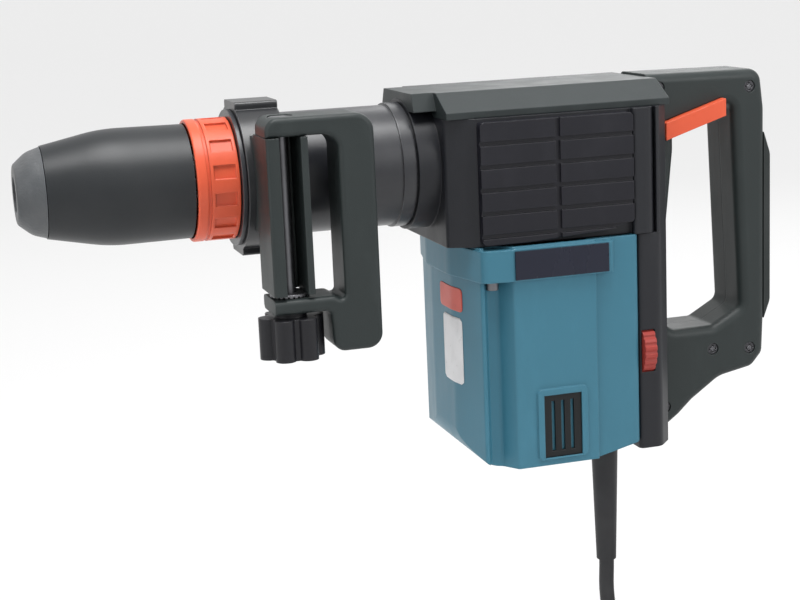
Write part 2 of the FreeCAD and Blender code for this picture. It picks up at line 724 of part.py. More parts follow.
def make_striker():
    end = d.striker_front + d.striker_length
    shoulder = d.striker_front + d.striker_nose_length
    groove = end - 3 * d.seal_width
    return turned("striker", "x", [
        (d.striker_front, 0), (end, 0), (end, slider_radius()), (groove + d.seal_width, slider_radius()),
        (groove + d.seal_width, slider_radius() - d.seal_depth), (groove, slider_radius() - d.seal_depth),
        (groove, slider_radius()), (shoulder, slider_radius()),
        (shoulder, d.striker_nose_radius), (d.striker_front, d.striker_nose_radius)])


def make_seal(name, start):
    """Rubber ring in a groove."""
    return ring(name, "x", start + d.seat_gap, d.seal_width - 2 * d.seat_gap,
                slider_radius() - d.seal_depth + d.seat_gap, slider_radius() - 0.02)


def make_striker_seal():
    return make_seal("striker_seal", d.striker_front + d.striker_length - 3 * d.seal_width)


pin_x = d.crank_x - d.crank_radius - d.rod_length
piston_front = pin_x - d.piston_pin_offset


def make_piston():
    """Hollow piston with a cross hole for its pin, which stands upright."""
    end = piston_front + d.piston_length
    groove = piston_front + d.seal_width
    hollow = slider_radius() - d.piston_skirt_wall
    piston = turned("piston", "x", [
        (piston_front, 0), (piston_front + d.piston_crown, 0), (piston_front + d.piston_crown, hollow),
        (end, hollow), (end, slider_radius()), (groove + d.seal_width, slider_radius()),
        (groove + d.seal_width, slider_radius() - d.seal_depth), (groove, slider_radius() - d.seal_depth),
        (groove, slider_radius()), (piston_front, slider_radius())])
    cut(piston, "top", -d.liner_bore_radius, 2 * d.liner_bore_radius,
        (pin_x, 0, d.piston_pin_radius + d.seat_gap))
    return piston


def make_piston_seal():
    return make_seal("piston_seal", piston_front + d.seal_width)


def make_piston_pin():
    reach = slider_radius() - 1
    return cylinder("piston_pin", "z", d.piston_pin_radius, 2 * reach, pin_x, 0, -reach)


def make_connecting_rod():
    """Rod whose rear eye runs just above the crank pin."""
    half = d.rod_thickness / 2
    rod = new_body("connecting_rod", pin_x)
    pad(rod, "top", -half, d.rod_thickness, (0, 0, d.small_eye_radius))
    pad(rod, "top", -half, d.rod_thickness, (d.rod_length, 0, d.big_eye_radius))
    pad(rod, "top", -half, d.rod_thickness, box_corners(0, d.rod_length, d.rod_width / -2, d.rod_width / 2))
    cut(rod, "top", -half, d.rod_thickness, (0, 0, d.piston_pin_radius + d.seat_gap))
    cut(rod, "top", -half, d.rod_thickness, (d.rod_length, 0, d.crank_pin_radius + d.running_gap))
    return rod


def make_crankshaft():
    """Upright crankshaft with a web and a pin."""
    web_bottom = d.crank_web_top + d.crank_web_thickness
    pin_top = d.rod_thickness / 2 + 0.3
    shaft = turned("crankshaft", "z", [
        (-d.crank_shaft_bottom, 0), (-d.crank_shaft_bottom, d.crank_shaft_radius),
        (-web_bottom, d.crank_shaft_radius), (-web_bottom, d.crank_web_radius),
        (-d.crank_web_top, d.crank_web_radius), (-d.crank_web_top, 0)], d.crank_x)
    pad(shaft, "top", -d.crank_web_top, d.crank_web_top - pin_top, (-d.crank_radius, 0, d.crank_pin_radius))
    return shaft


def toothed(owner, bottom, width, root, teeth, tip, turned_half_pitch):
    """Straight teeth round the Z axis: a tooth lies on +X, or a gap where the wheel is turned."""
    foot = d.gear_module * 0.84
    head = d.gear_module * 0.42
    angle = math.pi / as_dim(teeth).value if turned_half_pitch else 0.0
    across, along = math.cos(angle), math.sin(angle)

    def corner(radius, side):
        return (radius * across - side * along, radius * along + side * across)

    inside = root - 1
    tooth = pad(owner, "top", bottom, width, [
        corner(inside, -foot), corner(root, -foot), corner(tip, -head), corner(tip, head),
        corner(root, foot), corner(inside, foot)])
    repeat(owner, [tooth], "z", teeth)


def make_crank_gear():
    pitch = d.gear_module * d.gear_teeth / 2
    gear = new_body("crank_gear", d.crank_x)
    bottom = -d.gear_top - d.gear_width
    root = pitch - 1.3 * d.gear_module
    pad(gear, "top", bottom, d.gear_width, (0, 0, root), (0, 0, d.crank_shaft_radius + 0.02))
    toothed(gear, bottom, d.gear_width, root, d.gear_teeth, pitch + 0.85 * d.gear_module, True)
    return gear


def make_motor_shaft():
    """Motor shaft whose top end is cut as the pinion."""
    pitch = d.gear_module * d.pinion_teeth / 2
    shaft = new_body("motor_shaft", d.motor_x)
    root = pitch - 1.3 * d.gear_module
    pinion_bottom = -d.gear_top - d.gear_width - 0.4
    pad(shaft, "top", -d.motor_shaft_bottom, d.motor_shaft_bottom + pinion_bottom, (0, 0, d.motor_shaft_radius))
    pad(shaft, "top", pinion_bottom, d.gear_width + 0.8, (0, 0, root))
    toothed(shaft, pinion_bottom, d.gear_width + 0.8, root, d.pinion_teeth, pitch + 0.85 * d.gear_module, False)
    return shaft


def make_gear_plate():
    """Plate that closes the crank housing and holds the bearings."""
    plate = new_body("gear_plate")
    inner = d.crank_case_wall + d.seat_gap
    outline = box_corners(d.crank_case_front + inner, d.crank_case_rear - inner,
                          inner - d.crank_case_front_half_width, d.crank_case_front_half_width - inner, 3)
    pad(plate, "top", -d.plate_top - d.plate_thickness, d.plate_thickness, outline,
        (d.crank_x, 0, d.crank_bearing_radius + d.seat_gap), (d.motor_x, 0, d.motor_bearing_radius + d.seat_gap))
    return plate


def make_crank_bearings():
    """Two ball bearings, each drawn as one ring."""
    lower = d.plate_top + d.plate_thickness
    return group("crank_bearings", [
        ring(f"crank_bearing_{place_name}", "z", bottom, d.bearing_width,
             d.crank_shaft_radius + d.running_gap, d.crank_bearing_radius, d.crank_x)
        for place_name, bottom in (("upper", -d.plate_top - d.bearing_width - 1), ("lower", -lower + 1))])


# ---------------------------------------------------------------- motor


def make_motor_bearings():
    upper = ring("motor_bearing_upper", "z", -d.plate_top - d.bearing_width - 6, d.bearing_width,
                 d.motor_shaft_radius + d.running_gap, d.motor_bearing_radius, d.motor_x)
    lower = ring("motor_bearing_lower", "z", -d.lower_bearing_top - d.bearing_width, d.bearing_width,
                 d.motor_shaft_radius + d.running_gap, d.lower_bearing_radius, d.motor_x)
    return group("motor_bearings", [upper, lower])


def on_shaft():
    """Bore of what is pressed on the motor shaft."""
    return d.motor_shaft_radius + 0.02


def make_rotor_core():
    return ring("rotor_laminations", "z", -d.core_top - d.core_height, d.core_height, on_shaft(), d.rotor_radius,
                d.motor_x)


def end_windings(name, inner, outer):
    """One winding above the core and one below it."""
    bottom = -d.core_top - d.core_height
    return [
        ring(f"{name}_upper", "z", -d.core_top, d.winding_height, inner, outer, d.motor_x),
        ring(f"{name}_lower", "z", bottom - d.winding_height, d.winding_height, inner, outer, d.motor_x)]


def make_armature():
    """Rotor core with its end windings."""
    return group("armature", [make_rotor_core(), *end_windings("rotor_winding", on_shaft() + 2, d.rotor_radius - 3)])


commutator_top = d.core_top + d.core_height + d.winding_height + d.commutator_gap


def make_commutator():
    return ring("commutator", "z", -commutator_top - d.commutator_height, d.commutator_height, on_shaft(),
                d.commutator_radius, d.motor_x)


def make_cooling_fan():
    """Disc with straight blades under it."""
    fan = new_body("cooling_fan", d.motor_x)
    disc = 2
    blade_height = d.fan_height - disc
    pad(fan, "top", -d.fan_top - disc, disc, (0, 0, d.fan_radius), (0, 0, on_shaft()))
    pad(fan, "top", -d.fan_top - d.fan_height, blade_height, (0, 0, d.motor_shaft_radius + 4), (0, 0, on_shaft()))
    blade = pad(fan, "top", -d.fan_top - d.fan_height, blade_height,
                box_corners(d.motor_shaft_radius + 3, d.fan_radius, -0.8, 0.8))
    repeat(fan, [blade], "z", d.fan_blades)
    return fan


def make_stator():
    """Field core with its end windings."""
    core = ring("stator_core", "z", -d.core_top - d.core_height, d.core_height, d.rotor_radius + d.air_gap,
                d.stator_radius, d.motor_x)
    return group("stator", [core, *end_windings("field_winding", d.rotor_radius + 3, d.stator_radius - 3)])


def brush_middle():
    return -commutator_top - d.commutator_height / 2


def make_carbon_brushes():
    half = d.brush_width / 2
    inner = d.commutator_radius + 0.3
    bottom = brush_middle() - d.brush_height / 2
    return group("carbon_brushes", [
        block("carbon_brush_left", d.motor_x - half, -inner - d.brush_length, bottom, d.brush_width,
              d.brush_length, d.brush_height),
        block("carbon_brush_right", d.motor_x - half, inner, bottom, d.brush_width, d.brush_length,
              d.brush_height)])


def cavity_half_width():
    """Half width of the motor housing's hollow behind its flutes."""
    return d.motor_case_half_width - d.flute_depth - 3.5


def cavity_side():
    """Half width of the motor housing's hollow behind its side panels."""
    return d.motor_case_half_width - 3.5


def make_brush_holders():
    """Two square tubes from the housing's wall to the commutator."""
    half = d.brush_holder_width / 2
    low = brush_middle() - d.brush_holder_height / 2
    inner = d.commutator_radius + 2.5
    holders = []
    for side, sign in (("left", -1), ("right", 1)):
        holder = new_body(f"brush_holder_{side}", d.motor_x, 0, brush_middle())
        length = cavity_side() - inner - 0.05
        start = inner if sign < 0 else -inner - length
        pad(holder, "side", start, length,
            box_corners(-half, half, d.brush_holder_height / -2, d.brush_holder_height / 2))
        tunnel_start = start if sign < 0 else start + length - d.brush_length
        slot = box_corners(d.brush_width / -2 - d.seat_gap, d.brush_width / 2 + d.seat_gap,
                           d.brush_height / -2 - d.seat_gap, d.brush_height / 2 + d.seat_gap)
        cut(holder, "side", tunnel_start, d.brush_length, slot)
        holders.append(holder)
    return group("brush_holders", holders)


# ---------------------------------------------------------------- crank housing and its covers


def mirrored(half_outline):
    """A symmetric outline from its -Y half, which is listed from the front to the rear."""
    other = [(corner[0], -corner[1], *corner[2:]) for corner in reversed(half_outline)]
    return half_outline + other


def make_crank_housing():
    """Cast housing that holds the barrel and the crank gear."""
    housing = new_body("crank_housing")
    height = d.crank_case_bottom + d.crank_case_top
    shoulder = d.side_cover_rear + d.free_gap
    side = d.crank_case_half_width
    pad(housing, "top", -d.crank_case_bottom, height, mirrored([
        (d.crank_case_front, -d.crank_case_front_half_width, 3), (d.crank_case_shoulder, -side),
        (shoulder, -side), (shoulder, -side - d.side_cover_thickness + 1, 2),
        (d.crank_case_rear, -side - d.side_cover_thickness + 1, 8)]))
    pad(housing, "front", d.boss_front, d.crank_case_front - d.boss_front + 1,
        (0, 0, d.boss_radius))
    inner = d.crank_case_wall
    cut(housing, "top", -d.crank_case_bottom - 1, height + 2 - inner,
        box_corners(d.crank_case_front + inner, d.crank_case_rear - inner,
                    inner - d.crank_case_front_half_width, d.crank_case_front_half_width - inner, 3))
    cut(housing, "front", d.boss_front - 1, d.crank_case_front - d.boss_front + inner + 2,
        (0, 0, d.barrel_radius + d.seat_gap))
    return housing


def make_top_cover():
    """Dark cover that runs over the crank housing to the handle."""
    cover = new_body("top_cover")
    foot = d.crank_case_top + 0.1
    edge = foot + 4

    def section(inset):
        half = d.top_cover_half_width - inset
        ridge = d.top_cover_ridge - inset
        bottom = foot if inset == 0 else foot - 1
        shoulder = edge if inset == 0 else edge - 1
        top = d.top_cover_top - inset
        return [(-half, bottom), (half, bottom), (half, shoulder), (ridge, top), (-ridge, top), (-half, shoulder)]

    front = d.crank_case_front + 0.1
    pad(cover, "front", front, d.rear_cover_rear - front, section(0))
    nose = d.top_cover_ridge
    nose_foot = foot + 4
    pad(cover, "front", d.boss_front, front + 1 - d.boss_front, [
        (-nose, nose_foot), (nose, nose_foot), (nose - 5, d.top_cover_top), (5 - nose, d.top_cover_top)])
    cut(cover, "front", front + 3, d.rear_cover_rear - front - 6, section(d.top_cover_wall))
    cut(cover, "front", d.boss_front - 1, front + 4 - d.boss_front, (0, 0, d.boss_radius + 0.1))
    return cover


def make_side_cover(name, sign):
    """Ribbed panel on a flank of the crank housing."""
    cover = new_body(name)
    inner = d.crank_case_half_width + 0.05
    outer = inner + d.side_cover_thickness
    front = d.crank_case_shoulder
    rear, low = d.side_cover_rear, -d.side_cover_bottom
    outline = [
        (front, low, 3), (front + 30, low, 80), (rear - 15, low + 3, 40), (rear, low + d.side_cover_arch, 3),
        (rear, d.side_cover_top, 3), (front, d.side_cover_top, 3)]

    def reach(kind, near, far, shape):
        start = near if sign < 0 else -far
        kind(cover, "side", start, far - near, shape)

    reach(pad, inner, outer, outline)
    bottom = outer - d.cover_groove_depth
    for row in range(int(d.cover_groove_count.value)):
        low = d.side_cover_top - d.cover_groove_pitch * (row + 1)
        reach(cut, bottom, outer + 1, box_corners(front - 1, d.side_cover_rear + 1, low,
                                                  low + d.cover_groove_width))
    middle = (front + d.side_cover_rear) / 2
    reach(cut, bottom, outer + 1, box_corners(middle - 1.5, middle + 1.5, -d.side_cover_bottom - 1,
                                              d.side_cover_top + 1))
    return cover


def make_side_covers():
    make_side_cover("side_cover_left", -1)
    make_side_cover("side_cover_right", 1)


# ---------------------------------------------------------------- motor housing


def make_motor_housing():
    """Blue moulded housing, open at the top, with a cradle for the stator inside."""
    housing = new_body("motor_housing")
    side = d.motor_case_half_width
    flute = side - d.flute_depth
    flute_end = d.flute_front + d.flute_width
    panel_front = flute_end + d.flute_facet
    lip = d.flute_front - 0.5
    height = d.motor_case_bottom - d.motor_case_top
    bottom = -d.motor_case_bottom
    front = d.motor_case_front
    pad(housing, "top", bottom, height, mirrored([
        (front, -20, 30), (lip, 5 - side, 1.5), (lip + 2.5, 5 - side, 1), (lip + 4.5, -flute, 3),
        (flute_end, -flute, 3), (panel_front, -side, 2), (d.panel_rear, -side, 1), (d.panel_rear, -side + 3, 1),
        (d.motor_case_rear, -side + 3, 4)]))
    step = d.side_band_step
    band_bottom = -d.side_band_top - d.side_band_height
    pad(housing, "top", band_bottom, d.side_band_height, mirrored([
        (front - step, -22, 30), (lip, -side, 5), (panel_front, -side - step, 3),
        (d.side_band_rear, -side - step, 2)]))
    rim = 4
    vent_outline = box_corners(d.vent_front - rim, d.vent_front + d.vent_length + rim,
                               -d.vent_top - d.vent_height - 1, -d.vent_top + rim, 3)
    pad(housing, "side", -side - 1.5, 2 * side + 3, vent_outline)
    cavity = cavity_half_width()
    under = d.motor_case_front_rounding
    cut(housing, "top", bottom + under + 4, height, mirrored([
        (front + 4, -20, 6), (d.flute_front + 3, -cavity), (flute_end + 2.5, -cavity),
        (panel_front + 2.5, -cavity_side()), (d.panel_rear - 4, -cavity_side()),
        (d.panel_rear - 4, -side + 7), (d.motor_case_rear - 4, -side + 7)]))
    cut(housing, "top", bottom + d.motor_case_floor, under + 5,
        box_corners(front + under + 8, d.side_band_rear - 4, -cavity, cavity, 4))
    vent = box_corners(d.vent_front, d.vent_front + d.vent_length, -d.vent_top - d.vent_height, -d.vent_top)
    proud = side + 1.5
    cut(housing, "side", proud - d.vent_depth, d.vent_depth + 1, vent)
    cut(housing, "side", -proud - 1, d.vent_depth + 1, vent)
    low = d.motor_case_bottom
    cut(housing, "side", -side - 5, 2 * side + 10,
        [(front - 5, -low + under + 5), (front - 0.02, -low + under + 5), (front - 0.02, -low - 0.02, under),
         (front + under + 8, -low - 0.02), (front + under + 8, -low - 5), (front - 5, -low - 5)])
    cut(housing, "side", -side - 5, 2 * side + 10,
        [(d.panel_rear, -low), (d.motor_case_rear + 5, -low + 8), (d.motor_case_rear + 5, -low - 5),
         (d.panel_rear, -low - 5)])
    ring_outer = d.stator_radius + 3
    cradle_bottom = -d.core_top - d.core_height
    pad(housing, "top", cradle_bottom, d.core_height,
        (d.motor_x, 0, ring_outer), (d.motor_x, 0, d.stator_radius + d.seat_gap))
    pad(housing, "top", bottom + 1, d.motor_case_bottom - d.lower_bearing_top - 1,
        (d.motor_x, 0, d.lower_bearing_radius + 4))
    pocket = d.motor_shaft_bottom - d.lower_bearing_top + 1
    cut(housing, "top", -d.lower_bearing_top - pocket, pocket + 1,
        (d.motor_x, 0, d.lower_bearing_radius + d.seat_gap))
    pad(housing, "top", cradle_bottom, d.core_height,
        box_corners(d.motor_x + ring_outer - 0.5, d.motor_case_rear - 3, -3, 3))
    for edge in (-1, 1):
        reach = (ring_outer - 0.5) * edge
        outer = (cavity_side() + 0.5) * edge
        pad(housing, "top", cradle_bottom, d.core_height,
            box_corners(d.motor_x - 3, d.motor_x + 3, min(reach, outer, key=lambda v: v.value),
                        max(reach, outer, key=lambda v: v.value)))
    cut(housing, "top", bottom - 5, under + 12, (d.motor_case_rear + 0.15, 0, d.guard_neck_radius + 0.05))
    return housing


def make_badge_plates():
    """Plain plates on the housing's band."""
    outer = d.motor_case_half_width + d.side_band_step
    low = -d.side_band_top - d.side_band_height + 1
    return group("badge_plates", [
        block(f"badge_plate_{side}", d.badge_front, start, low, d.badge_length, d.badge_thickness,
              d.side_band_height - 2)
        for side, start in (("left", -outer - d.badge_thickness), ("right", outer))])


def make_vent_inserts():
    """Dark slotted plates in the air inlets."""
    proud = d.motor_case_half_width + 1.5
    inserts = []
    thickness = 2
    for side, sign in (("left", -1), ("right", 1)):
        insert = new_body(f"vent_insert_{side}", d.vent_front, 0, -d.vent_top - d.vent_height)
        start = proud - d.vent_depth if sign < 0 else d.vent_depth - proud - thickness
        pad(insert, "side", start, thickness, box_corners(d.seat_gap, d.vent_length - d.seat_gap,
                                                          d.seat_gap, d.vent_height - d.seat_gap))
        pitch = d.vent_length / (d.vent_slots + 1)
        for slot in range(int(d.vent_slots.value)):
            middle = pitch * (slot + 1)
            cut(insert, "side", start, thickness, box_corners(middle - 1.2, middle + 1.2, 4, d.vent_height - 4))
        inserts.append(insert)
    return group("vent_inserts", inserts)


def make_housing_screws():
    """Four upright screws in the flutes, with their heads under the band."""
    band_bottom = -d.side_band_top - d.side_band_height
    across = d.flute_front + d.flute_width / 2 + 1
    out = d.motor_case_half_width - d.flute_depth / 2
    heads = []
    for side, sign in (("left", -1), ("right", 1)):
        heads.append(cylinder(f"housing_screw_{side}", "z", d.screw_head_radius, d.screw_head_height + 2, across,
                              out * sign, band_bottom - d.screw_head_height - 2))
    return group("housing_screws", heads)


# ---------------------------------------------------------------- rear cover, dial and handle

rear_cover_front = d.motor_case_rear + 0.3
dial_axis_out = d.rear_cover_half_width + d.dial_proud - d.dial_radius


def make_rear_cover():
    """Hollow cover behind both housings, which carries the handle."""
    cover = new_body("rear_cover")
    side = d.rear_cover_half_width
    rear = d.rear_cover_rear
    split = -d.crank_case_bottom - 0.4
    upper_front = d.crank_case_rear + 0.3
    pad(cover, "top", -d.rear_cover_bottom, d.rear_cover_bottom + split, mirrored([
        (rear_cover_front, -side, 3), (rear - 10, -side, 8), (rear, -side + 11, 3)]))
    pad(cover, "top", split, d.crank_case_top - split, mirrored([
        (upper_front, -side), (rear - 10, -side, 3), (rear, -side + 11, 3)]))
    wall = d.rear_cover_wall
    cut(cover, "top", -d.rear_cover_bottom + wall, d.rear_cover_bottom + split - 2 * wall, mirrored([
        (rear_cover_front - 1, 4 - side), (rear - 9, 5 - side), (rear - wall, 12 - side)]))
    cut(cover, "top", -d.rear_cover_bottom + wall, 2 * d.rear_cover_bottom,
        box_corners(upper_front - 1, rear - wall, 25 - side, side - 25))
    pad(cover, "top", d.crank_case_top - wall, wall, box_corners(upper_front, rear - 1, 24 - side, side - 24))
    cut(cover, "front", d.dial_front - 0.5, d.dial_width + 1, (-dial_axis_out, -d.dial_depth, d.dial_radius + 0.5))
    cut(cover, "top", -d.rear_cover_bottom - 1, 16, (d.motor_case_rear + 0.15, 0, d.guard_neck_radius + 0.05))
    return cover


def make_speed_dial():
    """Thumbwheel whose rim stands out of the rear cover's side."""
    dial = new_body("speed_dial", d.dial_front, -dial_axis_out, -d.dial_depth)
    pad(dial, "front", 0, d.dial_width, (0, 0, d.dial_radius))
    notch = cut(dial, "front", 0, d.dial_width, (d.dial_radius + 0.6, 0, 1.4))
    repeat(dial, [notch], "x", 24)
    pad(dial, "front", d.dial_width - 0.5, 5.5, (0, 0, d.dial_shaft_radius))
    return dial


def make_speed_controller():
    """Electronic speed control with a bore for the dial's shaft."""
    front = d.dial_front + d.dial_width + 0.6
    controller = new_body("speed_controller", front, 0, -d.dial_depth)
    pad(controller, "front", 0, 5.8, box_corners(-dial_axis_out - 5, 30, -22, 26, 2))
    cut(controller, "front", 0, 5.2, (-dial_axis_out, 0, d.dial_shaft_radius + d.running_gap))
    return controller


handle_front = d.rear_cover_rear + 0.05
grip_rear = handle_front + d.handle_reach
grip_front = grip_rear - d.grip_depth
hole_front = handle_front + d.handle_root
lever_front = handle_front + d.lever_inset
switch_front = handle_front + d.switch_inset
handle_bottom = d.hole_bottom + d.handle_foot


def lever_corners(gap=0):
    """Outline of the switch lever, or of its channel where a gap is added."""
    start = lever_front - gap
    end = lever_front + d.lever_length + gap
    low, high = d.lever_low - gap, d.lever_low + d.lever_thickness + gap
    rise = d.lever_rise
    return [(start, low), (end, low + rise), (end, high + rise), (start, high)]


def handle_outer():
    """Side view of the handle from its upper front corner round to its lower front corner."""
    low = -handle_bottom
    foot = -d.rear_cover_bottom
    return [
        (handle_front, d.handle_top), (grip_rear - 3, d.handle_top - 1, 9), (grip_rear, d.hole_top - 7, 30),
        (grip_rear, 2 - d.hole_bottom, 20), (grip_rear - 1, low + 13.5, 8), (grip_rear - 9, low + 4.5, 8),
        (grip_rear - d.grip_depth - 9, low, 20), (handle_front + d.handle_root + 12, low - 13.5, 20),
        (handle_front + d.handle_root + 2, foot + 7, 8), (handle_front + d.handle_root - 8, foot),
        (handle_front, foot)]


def handle_hole():
    """Side view of the handle's finger opening."""
    low = -d.hole_bottom
    lower_front = hole_front - d.hole_step
    return [
        (hole_front, d.lever_low + 4, 2), (grip_front, d.hole_top, 5), (grip_front + d.grip_lean, low + 11, 6),
        (grip_front - 14, low, 6), (lower_front, low, 8), (lower_front, low + 54, 12), (hole_front, low + 118, 30)]


def make_handle_half(name, sign):
    """Half of the handle's shell, split at the middle plane."""
    half = new_body(name)
    width = d.handle_half_width
    near = 0.02

    def reach(kind, low, high, *shapes):
        start = low if sign < 0 else -high
        kind(half, "side", start, high - low, *shapes)

    reach(pad, as_dim(near), width, handle_outer(), handle_hole())
    outer_side = sign * width.value
    front_edge = handle_front.value

    def rim(edge):
        return lies_on(edge, "y", outer_side) and not lies_on(edge, "x", front_edge)

    round_edges(half, d.handle_rounding, rim)
    reach(cut, as_dim(-1), width + 1, lever_corners(d.free_gap))
    pocket = width - 3
    switch_gap = 0.15
    reach(cut, as_dim(-1), d.switch_half_width + switch_gap,
          box_corners(switch_front - switch_gap, switch_front + d.switch_length + switch_gap,
                      d.switch_bottom - switch_gap, d.switch_bottom + d.switch_height + switch_gap))
    reach(cut, as_dim(-1), pocket, box_corners(handle_front - 1, handle_front + 4, -d.hole_bottom + 4, 0))
    reach(cut, as_dim(-1), pocket - 2, box_corners(grip_front + d.grip_lean + 4, grip_rear - 5,
                                                   -d.hole_bottom - 2, 14, 3))
    for across, up in screw_places():
        reach(cut, as_dim(-1), width + 1, (across, up, d.screw_shank_radius + 0.05))
        if sign < 0:
            reach(cut, width - d.screw_head_height - 0.6, width + 1, (across, up, d.screw_head_radius + 0.1))
    return half


def screw_places():
    """Where the handle's screws stand in side view."""
    low = -handle_bottom
    return [
        (handle_front + 8, d.handle_top - 9), (grip_rear - 12, d.handle_top - 12), (grip_rear - 12, low + 18),
        (handle_front + 10, 14 - d.rear_cover_bottom), (grip_rear - d.grip_depth - 15, low + 20)]


def make_handle():
    make_handle_half("handle_left", -1)
    make_handle_half("handle_right", 1)


def make_handle_screws():
    """Screws that hold the handle's halves together, with their heads sunk in the left half."""
    screws = []
    head_outer = d.handle_half_width - 0.6
    for number, (across, up) in enumerate(screw_places()):
        screw = new_body(f"handle_screw_{number}")
        pad(screw, "side", head_outer - d.screw_head_height, d.screw_head_height, (across, up, d.screw_head_radius))
        pad(screw, "side", head_outer - d.screw_head_height - d.screw_length, d.screw_length,
            (across, up, d.screw_shank_radius))
        screws.append(screw)
    return group("handle_screws", screws)


def make_grip_pad():
    """Rubber pad on the back of the grip."""
    rubber = new_body("grip_pad")
    half = d.handle_half_width - 3
    pad(rubber, "side", -half, 2 * half, [
        (grip_rear + 0.05, -d.pad_bottom), (grip_rear + 0.05, d.pad_top),
        (grip_rear + d.pad_thickness, d.pad_top - 14, 12), (grip_rear + d.pad_thickness, -d.pad_bottom + 12, 10)])
    return rubber


def make_switch_lever():
    """Bar that is pushed across the handle to switch on."""
    lever = new_body("switch_lever")
    width = d.handle_half_width
    pad(lever, "side", -width, 2 * width + d.lever_proud, lever_corners())
    return lever


def make_switch_body():
    return block("switch_body", switch_front, -d.switch_half_width, d.switch_bottom, d.switch_length,
                 2 * d.switch_half_width, d.switch_height)


# ---------------------------------------------------------------- side grip

grip_y = -d.grip_outer_side + d.grip_thickness / 2
grip_inner_side = d.grip_outer_side - d.grip_thickness
post_rear = d.post_front + d.post_length
eye_gap = 0.3
lower_eye_top = d.post_bottom + d.washer_thickness + eye_gap
lower_eye_bottom = lower_eye_top + d.lower_eye_height
knob_body_top = lower_eye_bottom + d.knob_neck_height
knob_reach = d.knob_radius - 1 + d.knob_lobe_radius


def make_side_grip_band():
    """Steel band round the barrel, with a flat lug above and below."""
    band = turned("side_grip_band", "x", [
        (band_front, d.band_seat_radius + d.running_gap), (band_end, d.band_seat_radius + d.running_gap),
        (band_end, d.band_radius), (band_front, d.band_radius)])
    half = d.band_lug_half_width
    low = d.band_seat_radius + 3
    pad(band, "front", band_front, d.band_width, box_corners(-half, half, low, d.band_lug_height, 2))
    pad(band, "front", band_front, d.band_width, box_corners(-half, half, -d.band_lug_height, -low, 2))
    return band


def make_side_grip_bracket():
    """Post beside the barrel: a channel that is open to the outside and holds the clamp bolt."""
    bracket = new_body("side_grip_bracket")
    outer = -d.grip_outer_side
    web = -grip_inner_side - d.post_web / 2
    front = d.post_front
    back = post_rear - d.post_lip
    height = d.post_bottom + d.post_top
    inner = 0.05 - d.band_radius
    pad(bracket, "top", -d.post_bottom, height, [
        (front, outer, 2), (front + d.post_wall, outer), (front + d.post_wall, web), (back, web), (back, outer),
        (post_rear, outer), (post_rear, inner), (front, inner)])
    saddle = 28
    pad(bracket, "top", -saddle, 2 * saddle, box_corners(front, band_end, inner - 1, inner + 11))
    cut(bracket, "front", front - 1, d.post_length + 2, (0, 0, d.band_radius + 0.05))
    return bracket


def make_clamp_bolt():
    """Hexagon-headed bolt that runs down through the post and the knob."""
    bolt = new_body("clamp_bolt", d.grip_bolt_x, grip_y)
    head_top = d.loop_top - 0.5
    head_bottom = head_top - d.bolt_head_height
    flat = d.bolt_head_radius
    hexagon = [(flat * math.cos(math.radians(60 * k)), flat * math.sin(math.radians(60 * k))) for k in range(6)]
    pad(bolt, "top", head_bottom, d.bolt_head_height, hexagon)
    bottom = -lower_eye_bottom - d.knob_height + 8
    pad(bolt, "top", bottom, head_bottom - bottom, (0, 0, d.grip_bolt_radius))
    return bolt


def make_serrated_washer():
    """Ring with radial teeth on the end of the post."""
    washer = new_body("serrated_washer", d.grip_bolt_x, grip_y)
    pad(washer, "top", -d.post_bottom - d.washer_thickness, d.washer_thickness,
        (0, 0, d.washer_radius), (0, 0, d.grip_bolt_radius + 0.06))
    notch = cut(washer, "top", -d.post_bottom - d.washer_thickness, 0.8,
                box_corners(d.washer_radius - 4, d.washer_radius + 1, -0.6, 0.6))
    repeat(washer, [notch], "z", 24)
    return washer


def make_side_grip_loop():
    """Closed loop of the side grip, which swings on the clamp bolt through its two eyes."""
    loop = new_body("side_grip_loop")
    front = d.post_front
    inner = d.loop_rear - d.loop_bar
    eye_floor = d.post_top + eye_gap
    knob_side = d.grip_bolt_x + knob_reach + 1.5
    pad(loop, "side", grip_inner_side, d.grip_thickness, [
        (front, eye_floor), (front, d.loop_top, 7.5), (d.loop_rear, d.loop_top, 11),
        (d.loop_rear, -d.loop_bottom, 9), (knob_side + 1.5, -d.loop_bottom, 7),
        (knob_side, -lower_eye_bottom, 3), (front, -lower_eye_bottom), (front, -lower_eye_top),
        (post_rear + 12, -lower_eye_top, 6),
        (inner, -lower_eye_top - 4, 2.5), (inner, eye_floor, 9)])
    far_side, near_side = -grip_inner_side.value, -d.grip_outer_side.value
    low = front.value + 1

    def rim(edge):
        on_face = lies_on(edge, "y", far_side) or lies_on(edge, "y", near_side)
        return on_face and edge.BoundBox.XMax > post_rear.value + 4 and edge.BoundBox.XMin > low

    round_edges(loop, d.loop_rounding, rim)
    cut(loop, "top", -d.loop_bottom - 1, d.loop_bottom + d.loop_top + 2,
        (d.grip_bolt_x, grip_y, d.grip_bolt_radius + d.running_gap))
    head_bottom = d.loop_top - 0.5 - d.bolt_head_height
    cut(loop, "top", head_bottom, d.bolt_head_height + 1, (d.grip_bolt_x, grip_y, d.bolt_head_radius + 0.5))
    return loop


